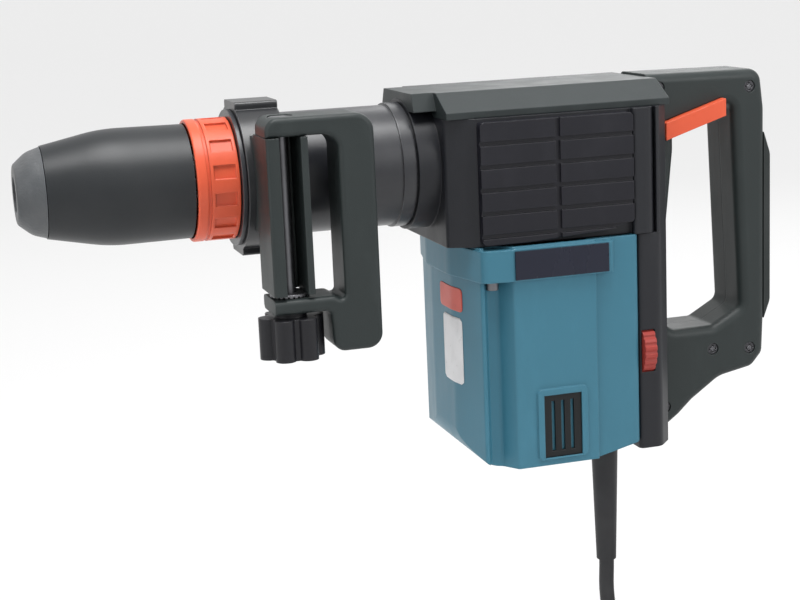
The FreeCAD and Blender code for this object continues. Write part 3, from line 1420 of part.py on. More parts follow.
def make_clamp_knob():
    """Lobed knob that tightens the side grip."""
    knob = new_body("clamp_knob", d.grip_bolt_x, grip_y)
    top = -lower_eye_bottom - 0.3
    body_height = d.knob_height - d.knob_neck_height + 0.3
    pad(knob, "top", top - d.knob_height, d.knob_height, (0, 0, d.knob_neck_radius))
    pad(knob, "top", top - d.knob_height, body_height, (0, 0, d.knob_radius))
    lobe = pad(knob, "top", top - d.knob_height, body_height, (d.knob_radius - 1, 0, d.knob_lobe_radius))
    repeat(knob, [lobe], "z", d.knob_lobes)
    cut(knob, "top", top - d.knob_height + 7.5, d.knob_height, (0, 0, d.grip_bolt_radius + d.running_gap))
    return knob


# ---------------------------------------------------------------- cord

# Route of the hanging cord in the part's own frame: down out of the guard, round onto the floor
# and along it into the coil. The tail runs from the coil to the plug.
CORD_RUN = [
    (-105.7, 0, -226), (-105.7, 0, -254.5), (-99.2, 1, -285.8), (-80, 3, -312.3), (-48.7, 7, -328),
    (-22, 9.6, -328), (-4, 10, -328)]
CORD_TAIL = [(-4, -100, -328), (-30, -101.5, -327.6), (-58, -98, -327.2), (-84, -97.5, -326.8)]
COIL_CENTRE = (45, -45, -331.2)
TIE_THICKNESS = 1.6
PLUG_LENGTH = 46
PIN_RADIUS = 2.4
PIN_LENGTH = 19
PIN_SPACING = 19


def make_cord_guard():
    """Tapered rubber guard that is clamped between the motor housing and the rear cover."""
    neck_top = d.motor_case_bottom - d.motor_case_floor - 6
    bore = d.cord_radius + 0.05
    return turned("cord_guard", "z", [
        (-d.guard_bottom, 0), (-d.guard_bottom, d.guard_tip_radius), (-d.guard_top, d.guard_top_radius),
        (-d.guard_top, d.guard_neck_radius), (-neck_top, d.guard_neck_radius), (-neck_top, bore),
        (-d.guard_top, bore), (-d.guard_top, 0)], d.motor_case_rear + 0.15)


def make_cord_clamp():
    """Bar inside the rear cover that presses the cord against the motor housing."""
    clamp = new_body("cord_clamp")
    inside = d.rear_cover_rear - d.rear_cover_wall - 0.05
    front = rear_cover_front + 2 * d.cord_radius + 0.6
    pad(clamp, "top", 12 - d.rear_cover_bottom, 9, box_corners(front, inside, -16, 16, 2))
    return clamp


def tube_along(name, route, radius):
    """Round tube along straight runs joined by tangent arcs. Prints the arcs' radii."""
    points = [Vector(*point) for point in route]
    edges = []
    start = points[0]
    radii = []
    for before, corner, after in zip(points, points[1:], points[2:]):
        back = before - corner
        ahead = after - corner
        half = (math.pi - back.getAngle(ahead)) / 2
        reach = 0.45 * min(back.Length, ahead.Length)
        radii.append(reach / math.tan(half))
        first = corner + back.normalize() * reach
        last = corner + ahead.normalize() * reach
        inward = (back + ahead).normalize()
        centre = corner + inward * (reach / math.sin(half))
        middle = centre - inward * radii[-1]
        edges.append(Part.LineSegment(start, first).toShape())
        edges.append(Part.Arc(first, middle, last).toShape())
        start = last
    edges.append(Part.LineSegment(start, points[-1]).toShape())
    path = Part.Wire(edges)
    direction = points[1] - points[0]
    section = Part.Wire([Part.Circle(points[0], direction, radius).toShape()])
    solid = path.makePipeShell([section], True, True)
    ideal = math.pi * radius ** 2 * path.Length
    print(name, "length", round(path.Length, 1), "radii", [round(r) for r in radii],
          "volume ratio", round(solid.Volume / ideal, 4))
    tube = DOC.addObject("Part::Feature", name)
    tube.Shape = solid
    tube.Placement = FreeCAD.Placement()
    return tube


def make_cords():
    tube_along("cord_run", CORD_RUN, d.cord_radius.value)
    tube_along("cord_tail", CORD_TAIL, d.cord_radius.value)


def make_cord_coil():
    """Closed solid of the neat coil's outer shape."""
    coil = DOC.addObject("PartDesign::Body", "cord_coil")
    drawing = sketch(coil, "side")
    half = d.coil_width / 2
    draw_outline(drawing, box_corners(d.coil_radius - half, d.coil_radius + half, 0, d.coil_height, 9))
    feature = coil.newObject("PartDesign::Revolution", "cord_coil_turn")
    feature.Profile = drawing
    feature.ReferenceAxis = (drawing, ["V_Axis"])
    coil.Placement.Base = Vector(*COIL_CENTRE)
    return coil


def make_coil_tie():
    """Rubber strap round the coil's section."""
    tie = DOC.addObject("PartDesign::Body", "coil_tie")
    half = d.coil_width / 2
    low, high = d.coil_radius - half, d.coil_radius + half
    gap = 0.1
    wrap = TIE_THICKNESS + gap
    pad(tie, "side", -6, 12, box_corners(low - wrap, high + wrap, -wrap, d.coil_height + wrap, 10),
        box_corners(low - gap, high + gap, -gap, d.coil_height + gap, 9))
    tie.Placement.Base = Vector(*COIL_CENTRE)
    return tie


def make_plug_body():
    """Round two-pin plug lying on the floor."""
    plug = DOC.addObject("PartDesign::Body", "plug_body")
    pad(plug, "top", -8, 16, [
        (0, -7, 2), (0, 7, 2), (-12, 11, 6), (-PLUG_LENGTH + 12, 18, 6), (-PLUG_LENGTH, 18, 3),
        (-PLUG_LENGTH, -18, 3), (-PLUG_LENGTH + 12, -18, 6), (-12, -11, 6)])
    plug.Placement.Base = Vector(*CORD_TAIL[-1]) + Vector(0, 0, 1.9)
    return plug


def make_plug_pins():
    """Two round pins."""
    tail = CORD_TAIL[-1]
    pins = []
    for side, sign in (("left", -1), ("right", 1)):
        pin = DOC.addObject("Part::Cylinder", f"plug_pin_{side}")
        pin.Radius = PIN_RADIUS
        pin.Height = PIN_LENGTH
        base = Vector(tail[0] - PLUG_LENGTH, tail[1] + sign * PIN_SPACING / 2, tail[2] + 1.9)
        pin.Placement = FreeCAD.Placement(base, FreeCAD.Rotation(Vector(0, 1, 0), -90))
        pins.append(pin)
    return group("plug_pins", pins)


# ---------------------------------------------------------------- build, check and write

MAKERS = [
    make_tool_holder, make_rollers, make_nose_cap, make_release_sleeve, make_roller_ring, make_sleeve_spring,
    make_change_ring, make_barrel, make_barrel_bushings, make_impact_bolt,
    make_cylinder_liner, make_striker, make_striker_seal, make_piston, make_piston_seal, make_piston_pin,
    make_connecting_rod, make_crankshaft, make_crank_gear, make_crank_bearings, make_gear_plate,
    make_motor_shaft, make_motor_bearings, make_armature, make_commutator,
    make_cooling_fan, make_stator, make_brush_holders, make_carbon_brushes,
    make_crank_housing, make_top_cover, make_side_covers, make_motor_housing, make_badge_plates,
    make_vent_inserts, make_housing_screws, make_rear_cover, make_speed_dial, make_speed_controller,
    make_handle, make_handle_screws, make_grip_pad, make_switch_lever, make_switch_body,
    make_side_grip_band, make_side_grip_bracket, make_side_grip_loop, make_clamp_bolt, make_serrated_washer,
    make_clamp_knob, make_cord_guard, make_cord_clamp, make_cords, make_cord_coil, make_coil_tie,
    make_plug_body, make_plug_pins]


def sub_parts():
    """Pieces that become files: every solid that no other piece is made from."""
    kinds = ("PartDesign::Body", "Part::Compound", "Part::Cylinder", "Part::Box", "Part::Sweep", "Part::Cut",
             "Part::MultiFuse", "Part::Feature")
    pieces = [item for item in DOC.Objects if item.TypeId in kinds]
    used = set()
    for item in pieces:
        for needed in item.OutList:
            used.add(needed.Name)
    return [item for item in pieces if item.Name not in used]


def check():
    """Stop if anything in the document failed."""
    for item in DOC.Objects:
        if "Invalid" in item.State or "Error" in item.State:
            raise RuntimeError(f"{item.Label} failed: {item.State}")
    for piece in sub_parts():
        shape = piece.Shape
        if shape.isNull() or not shape.isValid() or not shape.Solids:
            raise RuntimeError(f"{piece.Label} has no valid solid")


def main():
    for maker in MAKERS:
        maker()
    DOC.recompute()
    check()
    os.makedirs("parts", exist_ok=True)
    for piece in sub_parts():
        piece.Shape.exportStep(f"parts/{piece.Label}.step")
    print(len(sub_parts()), "sub-parts written")


main()
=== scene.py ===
import json
import math

import bmesh
import bpy
from mathutils import Matrix, Vector


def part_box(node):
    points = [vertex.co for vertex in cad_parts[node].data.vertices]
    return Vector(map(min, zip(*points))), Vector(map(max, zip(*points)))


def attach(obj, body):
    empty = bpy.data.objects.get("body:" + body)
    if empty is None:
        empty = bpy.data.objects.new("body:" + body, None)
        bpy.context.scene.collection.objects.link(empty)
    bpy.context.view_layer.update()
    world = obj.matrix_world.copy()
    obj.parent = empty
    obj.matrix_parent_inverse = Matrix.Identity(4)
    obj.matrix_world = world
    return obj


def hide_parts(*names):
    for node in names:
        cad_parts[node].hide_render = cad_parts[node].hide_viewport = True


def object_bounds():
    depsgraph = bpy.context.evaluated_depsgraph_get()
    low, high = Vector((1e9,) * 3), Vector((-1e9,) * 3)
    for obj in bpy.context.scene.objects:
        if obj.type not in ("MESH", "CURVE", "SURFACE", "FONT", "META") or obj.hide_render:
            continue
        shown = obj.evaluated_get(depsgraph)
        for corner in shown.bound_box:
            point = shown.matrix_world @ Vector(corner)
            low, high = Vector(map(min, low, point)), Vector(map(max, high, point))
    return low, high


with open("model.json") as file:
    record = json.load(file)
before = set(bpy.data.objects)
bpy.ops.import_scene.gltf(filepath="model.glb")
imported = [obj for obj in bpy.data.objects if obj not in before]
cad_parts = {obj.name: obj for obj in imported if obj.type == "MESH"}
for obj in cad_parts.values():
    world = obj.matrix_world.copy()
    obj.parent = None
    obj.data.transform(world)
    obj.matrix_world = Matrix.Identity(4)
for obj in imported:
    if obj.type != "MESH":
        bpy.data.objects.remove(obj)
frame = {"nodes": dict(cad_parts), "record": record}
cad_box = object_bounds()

# ---------------------------------------------------------------------------
# The studio. A pale floor that bends up into a backdrop, a large soft lamp
# overhead and weaker ones at the left, at the right and behind. The camera
# stands off the nose, a little higher than the barrel.
camera_place = Vector((-0.54566, -1.00331, 0.18289))
camera_right = Vector((0.9541, -0.2964, -0.0425)).normalized()
camera_back = -Vector((0.2822, 0.9377, -0.2028)).normalized()
camera_up = camera_back.cross(camera_right).normalized()


def link(name, data):
    """Puts a camera, a lamp, a curve or a mesh in the scene as an object."""
    made = bpy.data.objects.new(name, data)
    bpy.context.scene.collection.objects.link(made)
    return made


camera = link("camera", bpy.data.cameras.new("camera"))
turn = Matrix((camera_right, camera_up, camera_back)).transposed().to_4x4()
camera.matrix_world = Matrix.Translation(camera_place) @ turn
camera.data.lens = 76.33
camera.data.sensor_width = 36
camera.data.clip_start = 0.05
camera.data.clip_end = 60
bpy.context.scene.camera = camera
bpy.context.scene.view_settings.view_transform = "Standard"


def lamp(name, place, target, size, watts):
    """Soft square lamp that points at its target."""
    made = link(name, bpy.data.lights.new(name, "AREA"))
    made.data.size = size
    made.data.energy = watts
    made.location = place
    made.rotation_euler = (Vector(target) - Vector(place)).to_track_quat("-Z", "Y").to_euler()


lamp("lamp_above", (-0.30, -0.35, 1.55), (-0.1, 0, 0), size=1.0, watts=34)
lamp("lamp_left", (-1.7, -0.5, 0.45), (-0.1, 0, 0), size=0.8, watts=5)
lamp("lamp_right", (1.1, -1.7, 0.9), (0, 0, -0.1), size=0.9, watts=16)
lamp("lamp_behind", (0.9, 1.5, 1.1), (0, 0, 0), size=1.2, watts=12)


class Value:
    """An output in a finish's nodes. Sums, products and powers of it add Math nodes."""

    def __init__(self, finish, socket):
        self.finish = finish
        self.socket = socket

    def maths(self, operation, first, second):
        return self.finish.node("Math", {"operation": operation}, {0: first, 1: second})

    def __add__(self, other):
        return self.maths("ADD", self, other)

    def __radd__(self, other):
        return self.maths("ADD", other, self)

    def __sub__(self, other):
        return self.maths("SUBTRACT", self, other)

    def __rsub__(self, other):
        return self.maths("SUBTRACT", other, self)

    def __mul__(self, other):
        return self.maths("MULTIPLY", self, other)

    def __rmul__(self, other):
        return self.maths("MULTIPLY", other, self)

    def __pow__(self, other):
        return self.maths("POWER", self, other)


class Finish:
    """One material. Its node method adds any node and gives back an output of it."""

    def __init__(self, name):
        self.material = bpy.data.materials.new(name)
        self.material.use_nodes = True
        self.tree = self.material.node_tree
        self.shader = self.tree.nodes["Principled BSDF"]

    def feed(self, socket, value):
        if isinstance(value, Value):
            self.tree.links.new(value.socket, socket)
        elif socket.type == "RGBA" and len(value) == 3:
            socket.default_value = (*value, 1)
        else:
            socket.default_value = value

    def node(self, kind, settings=None, inputs=None, output=0):
        made = self.tree.nodes.new("ShaderNode" + kind)
        for name, setting in (settings or {}).items():
            setattr(made, name, setting)
        for name, value in (inputs or {}).items():
            self.feed(made.inputs[name], value)
        return Value(self, made.outputs[output])

    def coat(self, inputs):
        """Feeds the main shader's sockets and gives back the material."""
        for name, value in inputs.items():
            self.feed(self.shader.inputs[name], value)
        return self.material


def studio_finish(name, colour, glow):
    """Matt paint that the camera, glass and gloss see nearly white, with the object's shadow kept."""
    finish = Finish(name)
    finish.coat({"Base Color": colour, "Roughness": 0.9})
    seen = finish.node("LightPath", output="Is Camera Ray")
    mirrored = finish.node("LightPath", output="Is Glossy Ray")
    through = finish.node("LightPath", output="Is Transmission Ray")
    white = finish.node("Emission", {}, {"Color": (1, 1, 1), "Strength": 1.0})
    share = finish.node("Math", {"operation": "MINIMUM"}, {0: seen + mirrored + through, 1: 1.0}) * glow
    surface = Value(finish, finish.shader.outputs[0])
    mixed = finish.node("MixShader", {}, {0: share, 1: surface, 2: white})
    finish.feed(finish.tree.nodes["Material Output"].inputs["Surface"], mixed)
    return finish.material


def link_shape(name, shape, smooth):
    """Makes a mesh of a bmesh and puts it in the scene, with smooth or flat shading."""
    mesh = bpy.data.meshes.new(name)
    shape.to_mesh(mesh)
    shape.free()
    for face in mesh.polygons:
        face.use_smooth = smooth
    return link(name, mesh)


floor_level = cad_box[0].z
floor_front = -14.0
floor_half_width = 16.0
wall_distance = 11.0
wall_height = 12.0
bend_radius = 3.0
bend_start = wall_distance - bend_radius
profile = [(floor_front, 0.0), (bend_start, 0.0)]
for degrees in range(10, 91, 10):
    bend = math.radians(degrees)
    profile.append((bend_start + bend_radius * math.sin(bend), bend_radius * (1 - math.cos(bend))))
profile.append((wall_distance, wall_height))
floor_shape = bmesh.new()
left_edge, right_edge = [[floor_shape.verts.new((x, y, floor_level + z)) for y, z in profile]
                         for x in (-floor_half_width, floor_half_width)]
for index in range(len(profile) - 1):
    floor_shape.faces.new((left_edge[index], right_edge[index], right_edge[index + 1],
                           left_edge[index + 1]))
floor = link_shape("studio_floor", floor_shape, smooth=True)
floor.data.materials.append(studio_finish("studio_paint", (0.86, 0.86, 0.86), glow=0.72))

air_light = 0.5
extra_seen_light = 0.45
world = bpy.data.worlds.new("studio_air")
bpy.context.scene.world = world
world.use_nodes = True
air = world.node_tree.nodes["Background"]
air.inputs["Color"].default_value = (1, 1, 1, 1)
rays = world.node_tree.nodes.new("ShaderNodeLightPath")
seen_rays = rays.outputs["Is Camera Ray"]
for other in ("Is Glossy Ray", "Is Transmission Ray"):
    either = world.node_tree.nodes.new("ShaderNodeMath")
    either.operation = "MAXIMUM"
    world.node_tree.links.new(seen_rays, either.inputs[0])
    world.node_tree.links.new(rays.outputs[other], either.inputs[1])
    seen_rays = either.outputs[0]
strength = world.node_tree.nodes.new("ShaderNodeMath")
strength.operation = "MULTIPLY_ADD"
strength.inputs[1].default_value = extra_seen_light
strength.inputs[2].default_value = air_light
world.node_tree.links.new(seen_rays, strength.inputs[0])
world.node_tree.links.new(strength.outputs[0], air.inputs["Strength"])

# ---------------------------------------------------------------------------
# The mains lead: 5 m of 10 mm black rubber cable. It hangs from its guard,
# lies on the floor, and the rest is wound into a tied coil of four layers,
# stacked like logs. Its end leaves the coil's top for the plug.
cable_radius = 0.005
guard_exit = Vector((-0.1057, 0, -0.226))
lead_run = [guard_exit, (-0.1057, 0, -0.2545), (-0.0992, 0.001, -0.2858), (-0.080, 0.003, -0.3123),
            (-0.0487, 0.007, -0.3266), (-0.022, 0.0096, -0.3275), (-0.004, 0.010, -0.328)]
lead_tail = [(0.012, -0.1052, -0.3002), (-0.012, -0.1015, -0.3005), (-0.028, -0.0995, -0.3029),
             (-0.044, -0.0985, -0.3133), (-0.060, -0.0980, -0.3240), (-0.076, -0.0975, -0.3268),
             (-0.084, -0.0975, -0.3268)]
coil_middle = Vector((0.045, -0.045, -0.3312))
coil_start_angle = 110
coil_sweep = 206 + 13 * 360
coil_layers = [(0.070, 0.060, 0.050, 0.040), (0.045, 0.055, 0.065)] * 2
coil_slots = [(radius, level) for level, layer in enumerate(coil_layers) for radius in layer]
layer_rise = 0.00866
crossing = 0.2
points_per_turn = 18


def smooth_step(share):
    """Eases from 0 to 1."""
    share = min(1.0, max(0.0, share))
    return share * share * (3 - 2 * share)


def coil_point(angle):
    """Place of the cable's middle after that many degrees of winding."""
    turns = angle / 360
    whole = min(int(turns), len(coil_slots) - 1)
    here = coil_slots[whole]
    after = coil_slots[min(whole + 1, len(coil_slots) - 1)]
    step = smooth_step((turns - whole - (1 - crossing)) / crossing)
    radius = here[0] + (after[0] - here[0]) * step
    height = cable_radius + layer_rise * (here[1] + (after[1] - here[1]) * step)
    bearing = math.radians(coil_start_angle - angle)
    return coil_middle + Vector((radius * math.cos(bearing), radius * math.sin(bearing), height))


coil_steps = int(coil_sweep / 360 * points_per_turn)
lead_points = [Vector(point) for point in lead_run]
lead_points += [coil_point(coil_sweep * step / coil_steps) for step in range(coil_steps + 1)]
lead_points += [Vector(point) for point in lead_tail]
lead_curve = bpy.data.curves.new("mains_lead", "CURVE")
lead_curve.dimensions = "3D"
spline = lead_curve.splines.new("BEZIER")
spline.bezier_points.add(len(lead_points) - 1)
for knot, point in zip(spline.bezier_points, lead_points):
    knot.co = point
    knot.radius = cable_radius
    knot.handle_left_type = knot.handle_right_type = "AUTO"
spline.resolution_u = 5
lead_curve.bevel_depth = 1
lead_curve.bevel_resolution = 5
lead_curve.use_fill_caps = True
mains_lead = link("mains_lead", lead_curve)


def speckle(finish, scale, detail=3.0, roughness=0.5, stretch=(1, 1, 1)):
    """Cloudy pattern of the given number of patches in a metre, about 0.5 in the mean."""
    place = finish.node("TexCoord", output="Object")
    place = finish.node("Mapping", {}, {"Vector": place, "Scale": stretch})
    return finish.node("TexNoise", {}, {"Vector": place, "Scale": scale, "Detail": detail,
                                        "Roughness": roughness})


def toned(colour, gain, lift=0.0):
    """The colour made lighter or darker."""
    return tuple(min(1.0, channel * gain + lift) for channel in colour)


def blend_colours(finish, share, first, second):
    """Colour that goes from the first to the second as the share goes from 0 to 1."""
    settings = {"data_type": "RGBA", "clamp_factor": True}
    return finish.node("Mix", settings, {0: share, 6: first, 7: second}, output=2)


def rounded_normal(finish, radius):
    """The way the surface faces when its edges are rounded off by that radius."""
    return finish.node("Bevel", {"samples": 6}, {"Radius": radius})


def worn_edges(finish, radius, sharpness):
    """1 on edges that hands and benches rub, 0 on flat faces, broken up by a fine pattern."""
    plain = finish.node("NewGeometry", output="Normal")
    alike = finish.node("VectorMath", {"operation": "DOT_PRODUCT"},
                        {0: rounded_normal(finish, radius), 1: plain}, output=1)
    broken = speckle(finish, 160, detail=4)
    return finish.node("Clamp", {}, {"Value": (1 - alike) * sharpness * (broken + 0.35)})


def relief(finish, height, depth, strength, edge=None):
    """Fine bumps, and edges that the light sees rounded where a radius is given."""
    inputs = {"Height": height, "Distance": depth, "Strength": strength}
    if edge is not None:
        inputs["Normal"] = rounded_normal(finish, edge)
    return finish.node("Bump", {}, inputs)


def rubber(name, colour, roughness, grain=1400, depth=0.00012, dust=0.25):
    """Moulded rubber: a fine matt grain, a greyer bloom in patches and rubbed edges."""
    finish = Finish(name)
    bloom = speckle(finish, 26, detail=5)
    rubbed = worn_edges(finish, 0.0010, 2.2)
    dust_grey = 0.16
    dusty = tuple(channel + dust * (dust_grey - channel) for channel in colour)
    shade = blend_colours(finish, bloom ** 2 * 1.6, colour, dusty)
    shade = blend_colours(finish, rubbed * 0.5, shade, toned(colour, 2.6, 0.02))
    return finish.coat({
        "Base Color": shade,
        "Roughness": roughness + (bloom - 0.5) * 0.2,
        "Normal": relief(finish, speckle(finish, grain, detail=2), depth, 0.7),
        "Specular IOR Level": 0.3})


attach(mains_lead, "housing")
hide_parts("cord_run", "cord_coil", "cord_tail")
lead_curve.materials.append(rubber("cable_rubber", (0.012, 0.012, 0.014), 0.55))

# ---------------------------------------------------------------------------
# The nose. A thick rubbery sleeve slides back over the ground steel tool
# holder to let the chisel go. Its front end is a softer, greyer cap, and
# steel locking rollers, their ring and a coil spring sit inside it.


def dress(slot_name, finish):
    """Gives a finish to every CAD piece whose record names that slot."""
    for part in frame["record"]["subparts"]:
        if part["material_slot"] == slot_name:
            shown = frame["nodes"][part["node"]]
            shown.data.materials.clear()
            shown.data.materials.append(finish)


def machined(name, colour, roughness, lines=(1, 1, 1), scratch=420, oil=0.3, edge=0.0006):
    """Turned or ground metal: fine tool lines, darker oily patches and brighter edges."""
    finish = Finish(name)
    tool_lines = speckle(finish, scratch, 3, 0.6, lines)
    oily = speckle(finish, 40, detail=4)
    rubbed = worn_edges(finish, edge, 2.0)
    shade = blend_colours(finish, (oily - 0.5) * oil * 4, colour, toned(colour, 0.55))
    shade = blend_colours(finish, rubbed * 0.6, shade, toned(colour, 1.3, 0.05))
    return finish.coat({
        "Base Color": shade,
        "Roughness": roughness + (tool_lines - 0.5) * 0.25 + (oily - 0.5) * 0.15,
        "Metallic": 1.0,
        "Normal": relief(finish, tool_lines, 0.00006, 0.5, edge)})


dress("sleeve_plastic", rubber("sleeve_rubber", (0.013, 0.015, 0.017), 0.38, grain=1600,
                               depth=0.00006, dust=0.06))
dress("nose_rubber", rubber("nose_cap_rubber", (0.040, 0.046, 0.052), 0.45, grain=500,
                            depth=0.0004, dust=0.9))
dress("tool_steel", machined("ground_steel", (0.50, 0.50, 0.51), 0.28, lines=(0.15, 1, 1)))
dress("spring_steel", machined("spring_wire_steel", (0.32, 0.32, 0.35), 0.34, scratch=800))

# ---------------------------------------------------------------------------
# The change ring: an orange-red plastic collar with a smooth lip and a
# notched band. Pushed forward, it lets the chisel be turned. The switch bar
# in the handle is moulded in the same plastic.


def moulded(name, colour, roughness, grain=1100, depth=0.00010, rub=0.35, blotch=0.25, edge=0.0012):
    """Moulded plastic: a leathery grain, faint flow patches, and edges rubbed paler and smoother."""
    finish = Finish(name)
    patches = speckle(finish, 14, detail=4)
    smears = speckle(finish, 55, 5, 0.6, (1, 1, 0.35))
    rubbed = worn_edges(finish, edge, 2.4)
    shade = blend_colours(finish, (patches - 0.3) * blotch * 3, toned(colour, 0.78), colour)
    shade = blend_colours(finish, (smears - 0.52) * blotch * 3.2, shade, toned(colour, 1.35, 0.012))
    shade = blend_colours(finish, rubbed * rub, shade, toned(colour, 1.7, 0.04))
    return finish.coat({
        "Base Color": shade,
        "Roughness": roughness + (smears - 0.5) * 0.25 - rubbed * 0.12,
        "Normal": relief(finish, speckle(finish, grain, detail=2), depth, 0.55, edge * 0.8),
        "Specular IOR Level": 0.3})


dress("red_plastic", moulded("red_plastic_satin", (0.78, 0.115, 0.050), 0.36, grain=900,
                             depth=0.00005, rub=0.30, blotch=0.18))

# ---------------------------------------------------------------------------
# The barrel and the side grip's clamping band: an alloy tube with a satin
# black coat and bronze bushings, and a black steel band with a lug above and
# below.


def painted(name, colour, roughness, orange_peel=260, depth=0.00010, chip=0.5, edge=0.0009):
    """Baked paint on metal: orange peel, hazy patches and chips on the edges that show metal."""
    finish = Finish(name)
    peel = speckle(finish, orange_peel, detail=2)
    haze = speckle(finish, 22, detail=5)
    rubbed = worn_edges(finish, edge, 3.2)
    chipped = (rubbed * (speckle(finish, 600, detail=3) + 0.35)) ** 2 * chip
    bare_metal = (0.42, 0.42, 0.43)
    shade = blend_colours(finish, (haze - 0.45) * 1.6, colour, toned(colour, 1.0, 0.035))
    shade = blend_colours(finish, chipped, shade, bare_metal)
    return finish.coat({
        "Base Color": shade,
        "Roughness": roughness + (haze - 0.5) * 0.22,
        "Metallic": chipped * 0.8,
        "Normal": relief(finish, peel, depth, 0.4, edge),
        "Specular IOR Level": 0.5})


dress("barrel_black", painted("barrel_paint", (0.016, 0.017, 0.021), 0.32))
dress("band_steel", painted("band_paint", (0.012, 0.013, 0.015), 0.32, orange_peel=400, depth=0.00005))
dress("bronze", machined("bearing_bronze", (0.60, 0.40, 0.18), 0.3, lines=(0.2, 1, 1)))

# ---------------------------------------------------------------------------
# The side grip: a D-shaped loop of hard rubber on a channel bracket, held by
# a long bolt, a toothed washer and a fluted knob. The housing's screws are
# the same blackened steel as the bolt.
dress("grip_plastic", moulded("loop_rubber", (0.022, 0.029, 0.029), 0.46, grain=1300,
                              depth=0.00012, rub=0.2))
dress("knob_plastic", moulded("knob_nylon", (0.012, 0.012, 0.015), 0.36, grain=900,
                              depth=0.00006, rub=0.3))
dress("screw_steel", machined("blackened_steel", (0.16, 0.16, 0.17), 0.4, scratch=500, oil=0.2))

# ---------------------------------------------------------------------------
# The crank housing, its top cover and the two ribbed side covers: black and
# grey-green nylon. Inside are the cast gear plate, the piston and its rod,
# and the seals on piston and striker.
dress("housing_black", moulded("crank_case_nylon", (0.013, 0.014, 0.018), 0.42, rub=0.2))
dress("cover_plastic", moulded("top_cover_nylon", (0.023, 0.030, 0.031), 0.46, rub=0.2))
dress("side_cover_plastic", moulded("side_cover_nylon", (0.008, 0.008, 0.013), 0.34, grain=700,
                                    depth=0.00005, rub=0.2))
dress("cast_alloy", machined("cast_alloy_grey", (0.56, 0.56, 0.57), 0.48, scratch=260, oil=0.4))
dress("seal_rubber", rubber("seal_ring_rubber", (0.025, 0.025, 0.025), 0.45))

# ---------------------------------------------------------------------------
# The motor housing: teal-blue nylon with deep flutes, a plain navy plate in
# its band, and a slotted black vent at the bottom of each side.
dress("blue_plastic", moulded("housing_nylon_blue", (0.047, 0.180, 0.255), 0.38, grain=800,
                              depth=0.00006, rub=0.30, blotch=0.14, edge=0.0016))
dress("badge_navy", moulded("plate_navy", (0.010, 0.012, 0.026), 0.26, grain=500,
                            depth=0.00002, rub=0.2, blotch=0.1, edge=0.0006))
dress("vent_black", moulded("vent_nylon", (0.005, 0.006, 0.007), 0.5))

# ---------------------------------------------------------------------------
# The labels on the housing's front: two blank pieces of film, one red and
# one white, stuck on and gone a little dirty.
housing_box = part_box("motor_housing")
label_start = housing_box[0].x - 0.002
label_left = -0.0335
red_top = housing_box[1].z - 0.0285
red_height = 0.015
white_top = red_top - 0.019
white_height = 0.0425
label_corner = 0.003
label_gap = 0.00012
label_thickness = 0.0002
label_steps = 24


def label(name, low, high, colour, roughness):
    """Blank film with round corners, laid on the housing's front from just ahead of it."""
    shape = bmesh.new()
    rows = []
    for row in range(label_steps + 1):
        z = low[1] + (high[1] - low[1]) * row / label_steps
        near_edge = min(label_corner, z - low[1], high[1] - z)
        inset = label_corner - math.sqrt(max(0.0, label_corner ** 2 - (label_corner - near_edge) ** 2))
        width = high[0] - low[0] - 2 * inset
        rows.append([shape.verts.new((label_start, low[0] + inset + width * column / label_steps, z))
                     for column in range(label_steps + 1)])
    for below, above in zip(rows, rows[1:]):
        for column in range(label_steps):
            shape.faces.new((below[column], above[column], above[column + 1], below[column + 1]))
    made = link_shape(name, shape, smooth=True)
    hug = made.modifiers.new("hug", "SHRINKWRAP")
    hug.target = frame["nodes"]["motor_housing"]
    hug.wrap_method = "PROJECT"
    hug.use_project_x = True
    hug.use_positive_direction = True
    hug.use_negative_direction = False
    hug.offset = label_gap
    thick = made.modifiers.new("thick", "SOLIDIFY")
    thick.thickness = label_thickness
    thick.offset = 1
    finish = Finish(name + "_film")
    stains = speckle(finish, 60, detail=5)
    rubbed = speckle(finish, 240, 4, 0.7)
    shade = blend_colours(finish, (stains - 0.45) * 1.6, colour, toned(colour, 0.72))
    shade = blend_colours(finish, (rubbed - 0.62) * 5, shade, toned(colour, 0.45, 0.03))
    made.data.materials.append(finish.coat({
        "Base Color": shade,
        "Roughness": roughness + (stains - 0.5) * 0.2,
        "Normal": relief(finish, rubbed, 0.00005, 0.4)}))
    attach(made, "housing")


label("red_patch", (label_left, red_top - red_height), (0.0015, red_top), (0.52, 0.07, 0.045), 0.4)
label("white_patch", (label_left + 0.001, white_top - white_height), (-0.003, white_top),
      (0.66, 0.66, 0.67), 0.45)

# ---------------------------------------------------------------------------
# The motor and the switch, out of sight: a copper commutator, carbon brushes
# in brass holders, and the fan, the switch, the speed controller and the
# cord clamp in grey nylon.
dress("copper", machined("winding_copper", (0.72, 0.36, 0.20), 0.35, lines=(1, 1, 6), scratch=300,
                         oil=0.5))
dress("carbon", machined("brush_carbon", (0.05, 0.05, 0.052), 0.55))
dress("brass", machined("brass_bright", (0.78, 0.58, 0.26), 0.3))
dress("inner_plastic", moulded("inner_nylon", (0.10, 0.10, 0.095), 0.5))

# ---------------------------------------------------------------------------
# The rear cover with its speed dial, whose red is darkened as painted shade for the recess it sits in,
# and the D-handle: two hard nylon shells with a soft rubber pad down the back of the grip.
dress("rear_cover_plastic", moulded("rear_cover_nylon", (0.013, 0.014, 0.018), 0.44, rub=0.2))
# The dial's red is set far darker than the ring's as painted shade: the colour stands for the shadow of
# the recess the dial sits in.
dress("dial_red", moulded("dial_red_painted_shade", (0.36, 0.045, 0.035), 0.42, grain=900,
                          depth=0.00005, rub=0.20, blotch=0.18))
dress("handle_plastic", moulded("handle_nylon", (0.022, 0.029, 0.029), 0.46, grain=1300, rub=0.2))
dress("grip_rubber", rubber("grip_pad_rubber", (0.014, 0.018, 0.018), 0.55, grain=900,
                            depth=0.0002, dust=0.1))

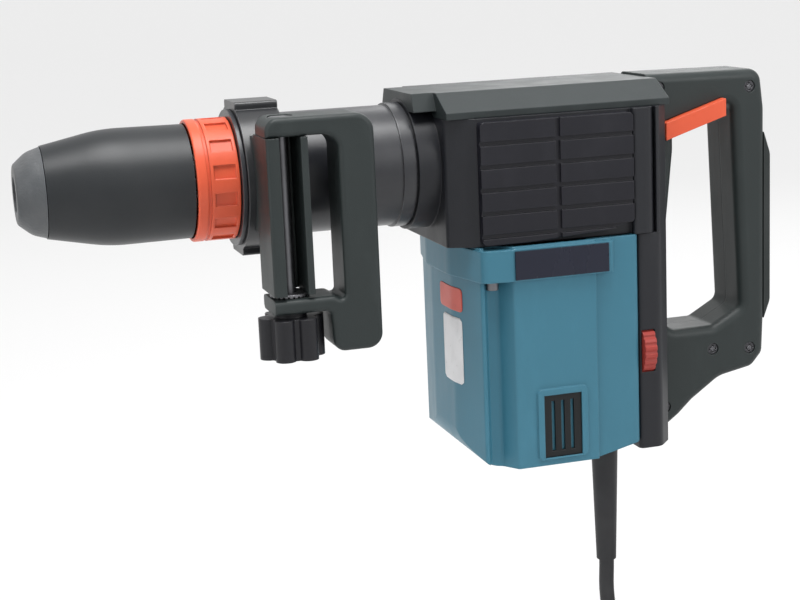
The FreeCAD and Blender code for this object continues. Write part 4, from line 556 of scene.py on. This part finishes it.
# ---------------------------------------------------------------------------
# The screws that hold the handle's shells together: black steel, with a wide
# flat head and a cross recess. Each takes the place of a plain CAD screw.
head_depth = 0.003
head_dome = 0.0001
rim_drop = 0.0004
shank_share = 0.47
cross_depth = 0.0011
cross_half_width = 0.14
cross_reach = 0.64
face_rings = 12
spokes = 72


def solids_of(node):
    """Lowest and highest corner of each separate solid in a CAD piece."""
    mesh = bmesh.new()
    mesh.from_mesh(frame["nodes"][node].data)
    left = set(mesh.verts)
    found = []
    while left:
        wave = [left.pop()]
        places = []
        while wave:
            vert = wave.pop()
            places.append(vert.co.copy())
            for edge in vert.link_edges:
                near = edge.other_vert(vert)
                if near in left:
                    left.discard(near)
                    wave.append(near)
        found.append([Vector([pick(place[axis] for place in places) for axis in range(3)])
                      for pick in (min, max)])
    mesh.free()
    return sorted(found, key=lambda corners: corners[0].to_tuple())


def add_screw(shape, low, high):
    """Adds a screw that fills the box from low to high, with its head at the low end of Y."""
    radius = (high.x - low.x) / 2
    middle = (low + high) / 2
    face = [(step / face_rings, None) for step in range(1, face_rings)]
    side = [(0.96, head_dome), (1, rim_drop), (1, head_depth), (shank_share, head_depth),
            (shank_share, high.y - low.y)]
    rings = []
    for share, depth in face + side:
        ring = []
        for spoke in range(spokes):
            angle = 2 * math.pi * spoke / spokes
            across = radius * share * math.cos(angle)
            up = radius * share * math.sin(angle)
            drop = depth
            if depth is None:
                crossed = min(abs(across), abs(up)) < radius * cross_half_width and share < cross_reach
                drop = cross_depth if crossed else head_dome * share ** 2
            ring.append(shape.verts.new((middle.x + across, low.y + drop, middle.z + up)))
        rings.append(ring)
    hub = shape.verts.new((middle.x, low.y + cross_depth, middle.z))
    tip = shape.verts.new((middle.x, high.y, middle.z))
    for spoke in range(spokes):
        after = (spoke + 1) % spokes
        shape.faces.new((hub, rings[0][spoke], rings[0][after]))
        shape.faces.new((tip, rings[-1][after], rings[-1][spoke]))
        for inner, outer in zip(rings, rings[1:]):
            shape.faces.new((inner[spoke], outer[spoke], outer[after], inner[after]))


screw_shape = bmesh.new()
for low, high in solids_of("handle_screws"):
    add_screw(screw_shape, low, high)
bmesh.ops.recalc_face_normals(screw_shape, faces=screw_shape.faces)
screw_heads = link_shape("handle_screw_heads", screw_shape, smooth=False)
screw_heads.data.materials.append(machined("screw_black_oxide", (0.13, 0.13, 0.14), 0.38, scratch=900))
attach(screw_heads, "housing")
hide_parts("handle_screws")

# ---------------------------------------------------------------------------
# What is on the lead: the tapered guard where it leaves the housing, the
# rubber tie round the coil, and the moulded plug with plated pins.
dress("cord_rubber", rubber("guard_rubber", (0.012, 0.012, 0.014), 0.5))
dress("tie_rubber", rubber("tie_strap_rubber", (0.016, 0.016, 0.017), 0.6))
dress("plug_rubber", rubber("plug_moulding", (0.012, 0.012, 0.014), 0.5))
dress("plated_pins", machined("nickel_plate", (0.72, 0.71, 0.69), 0.2, scratch=700, oil=0.1))
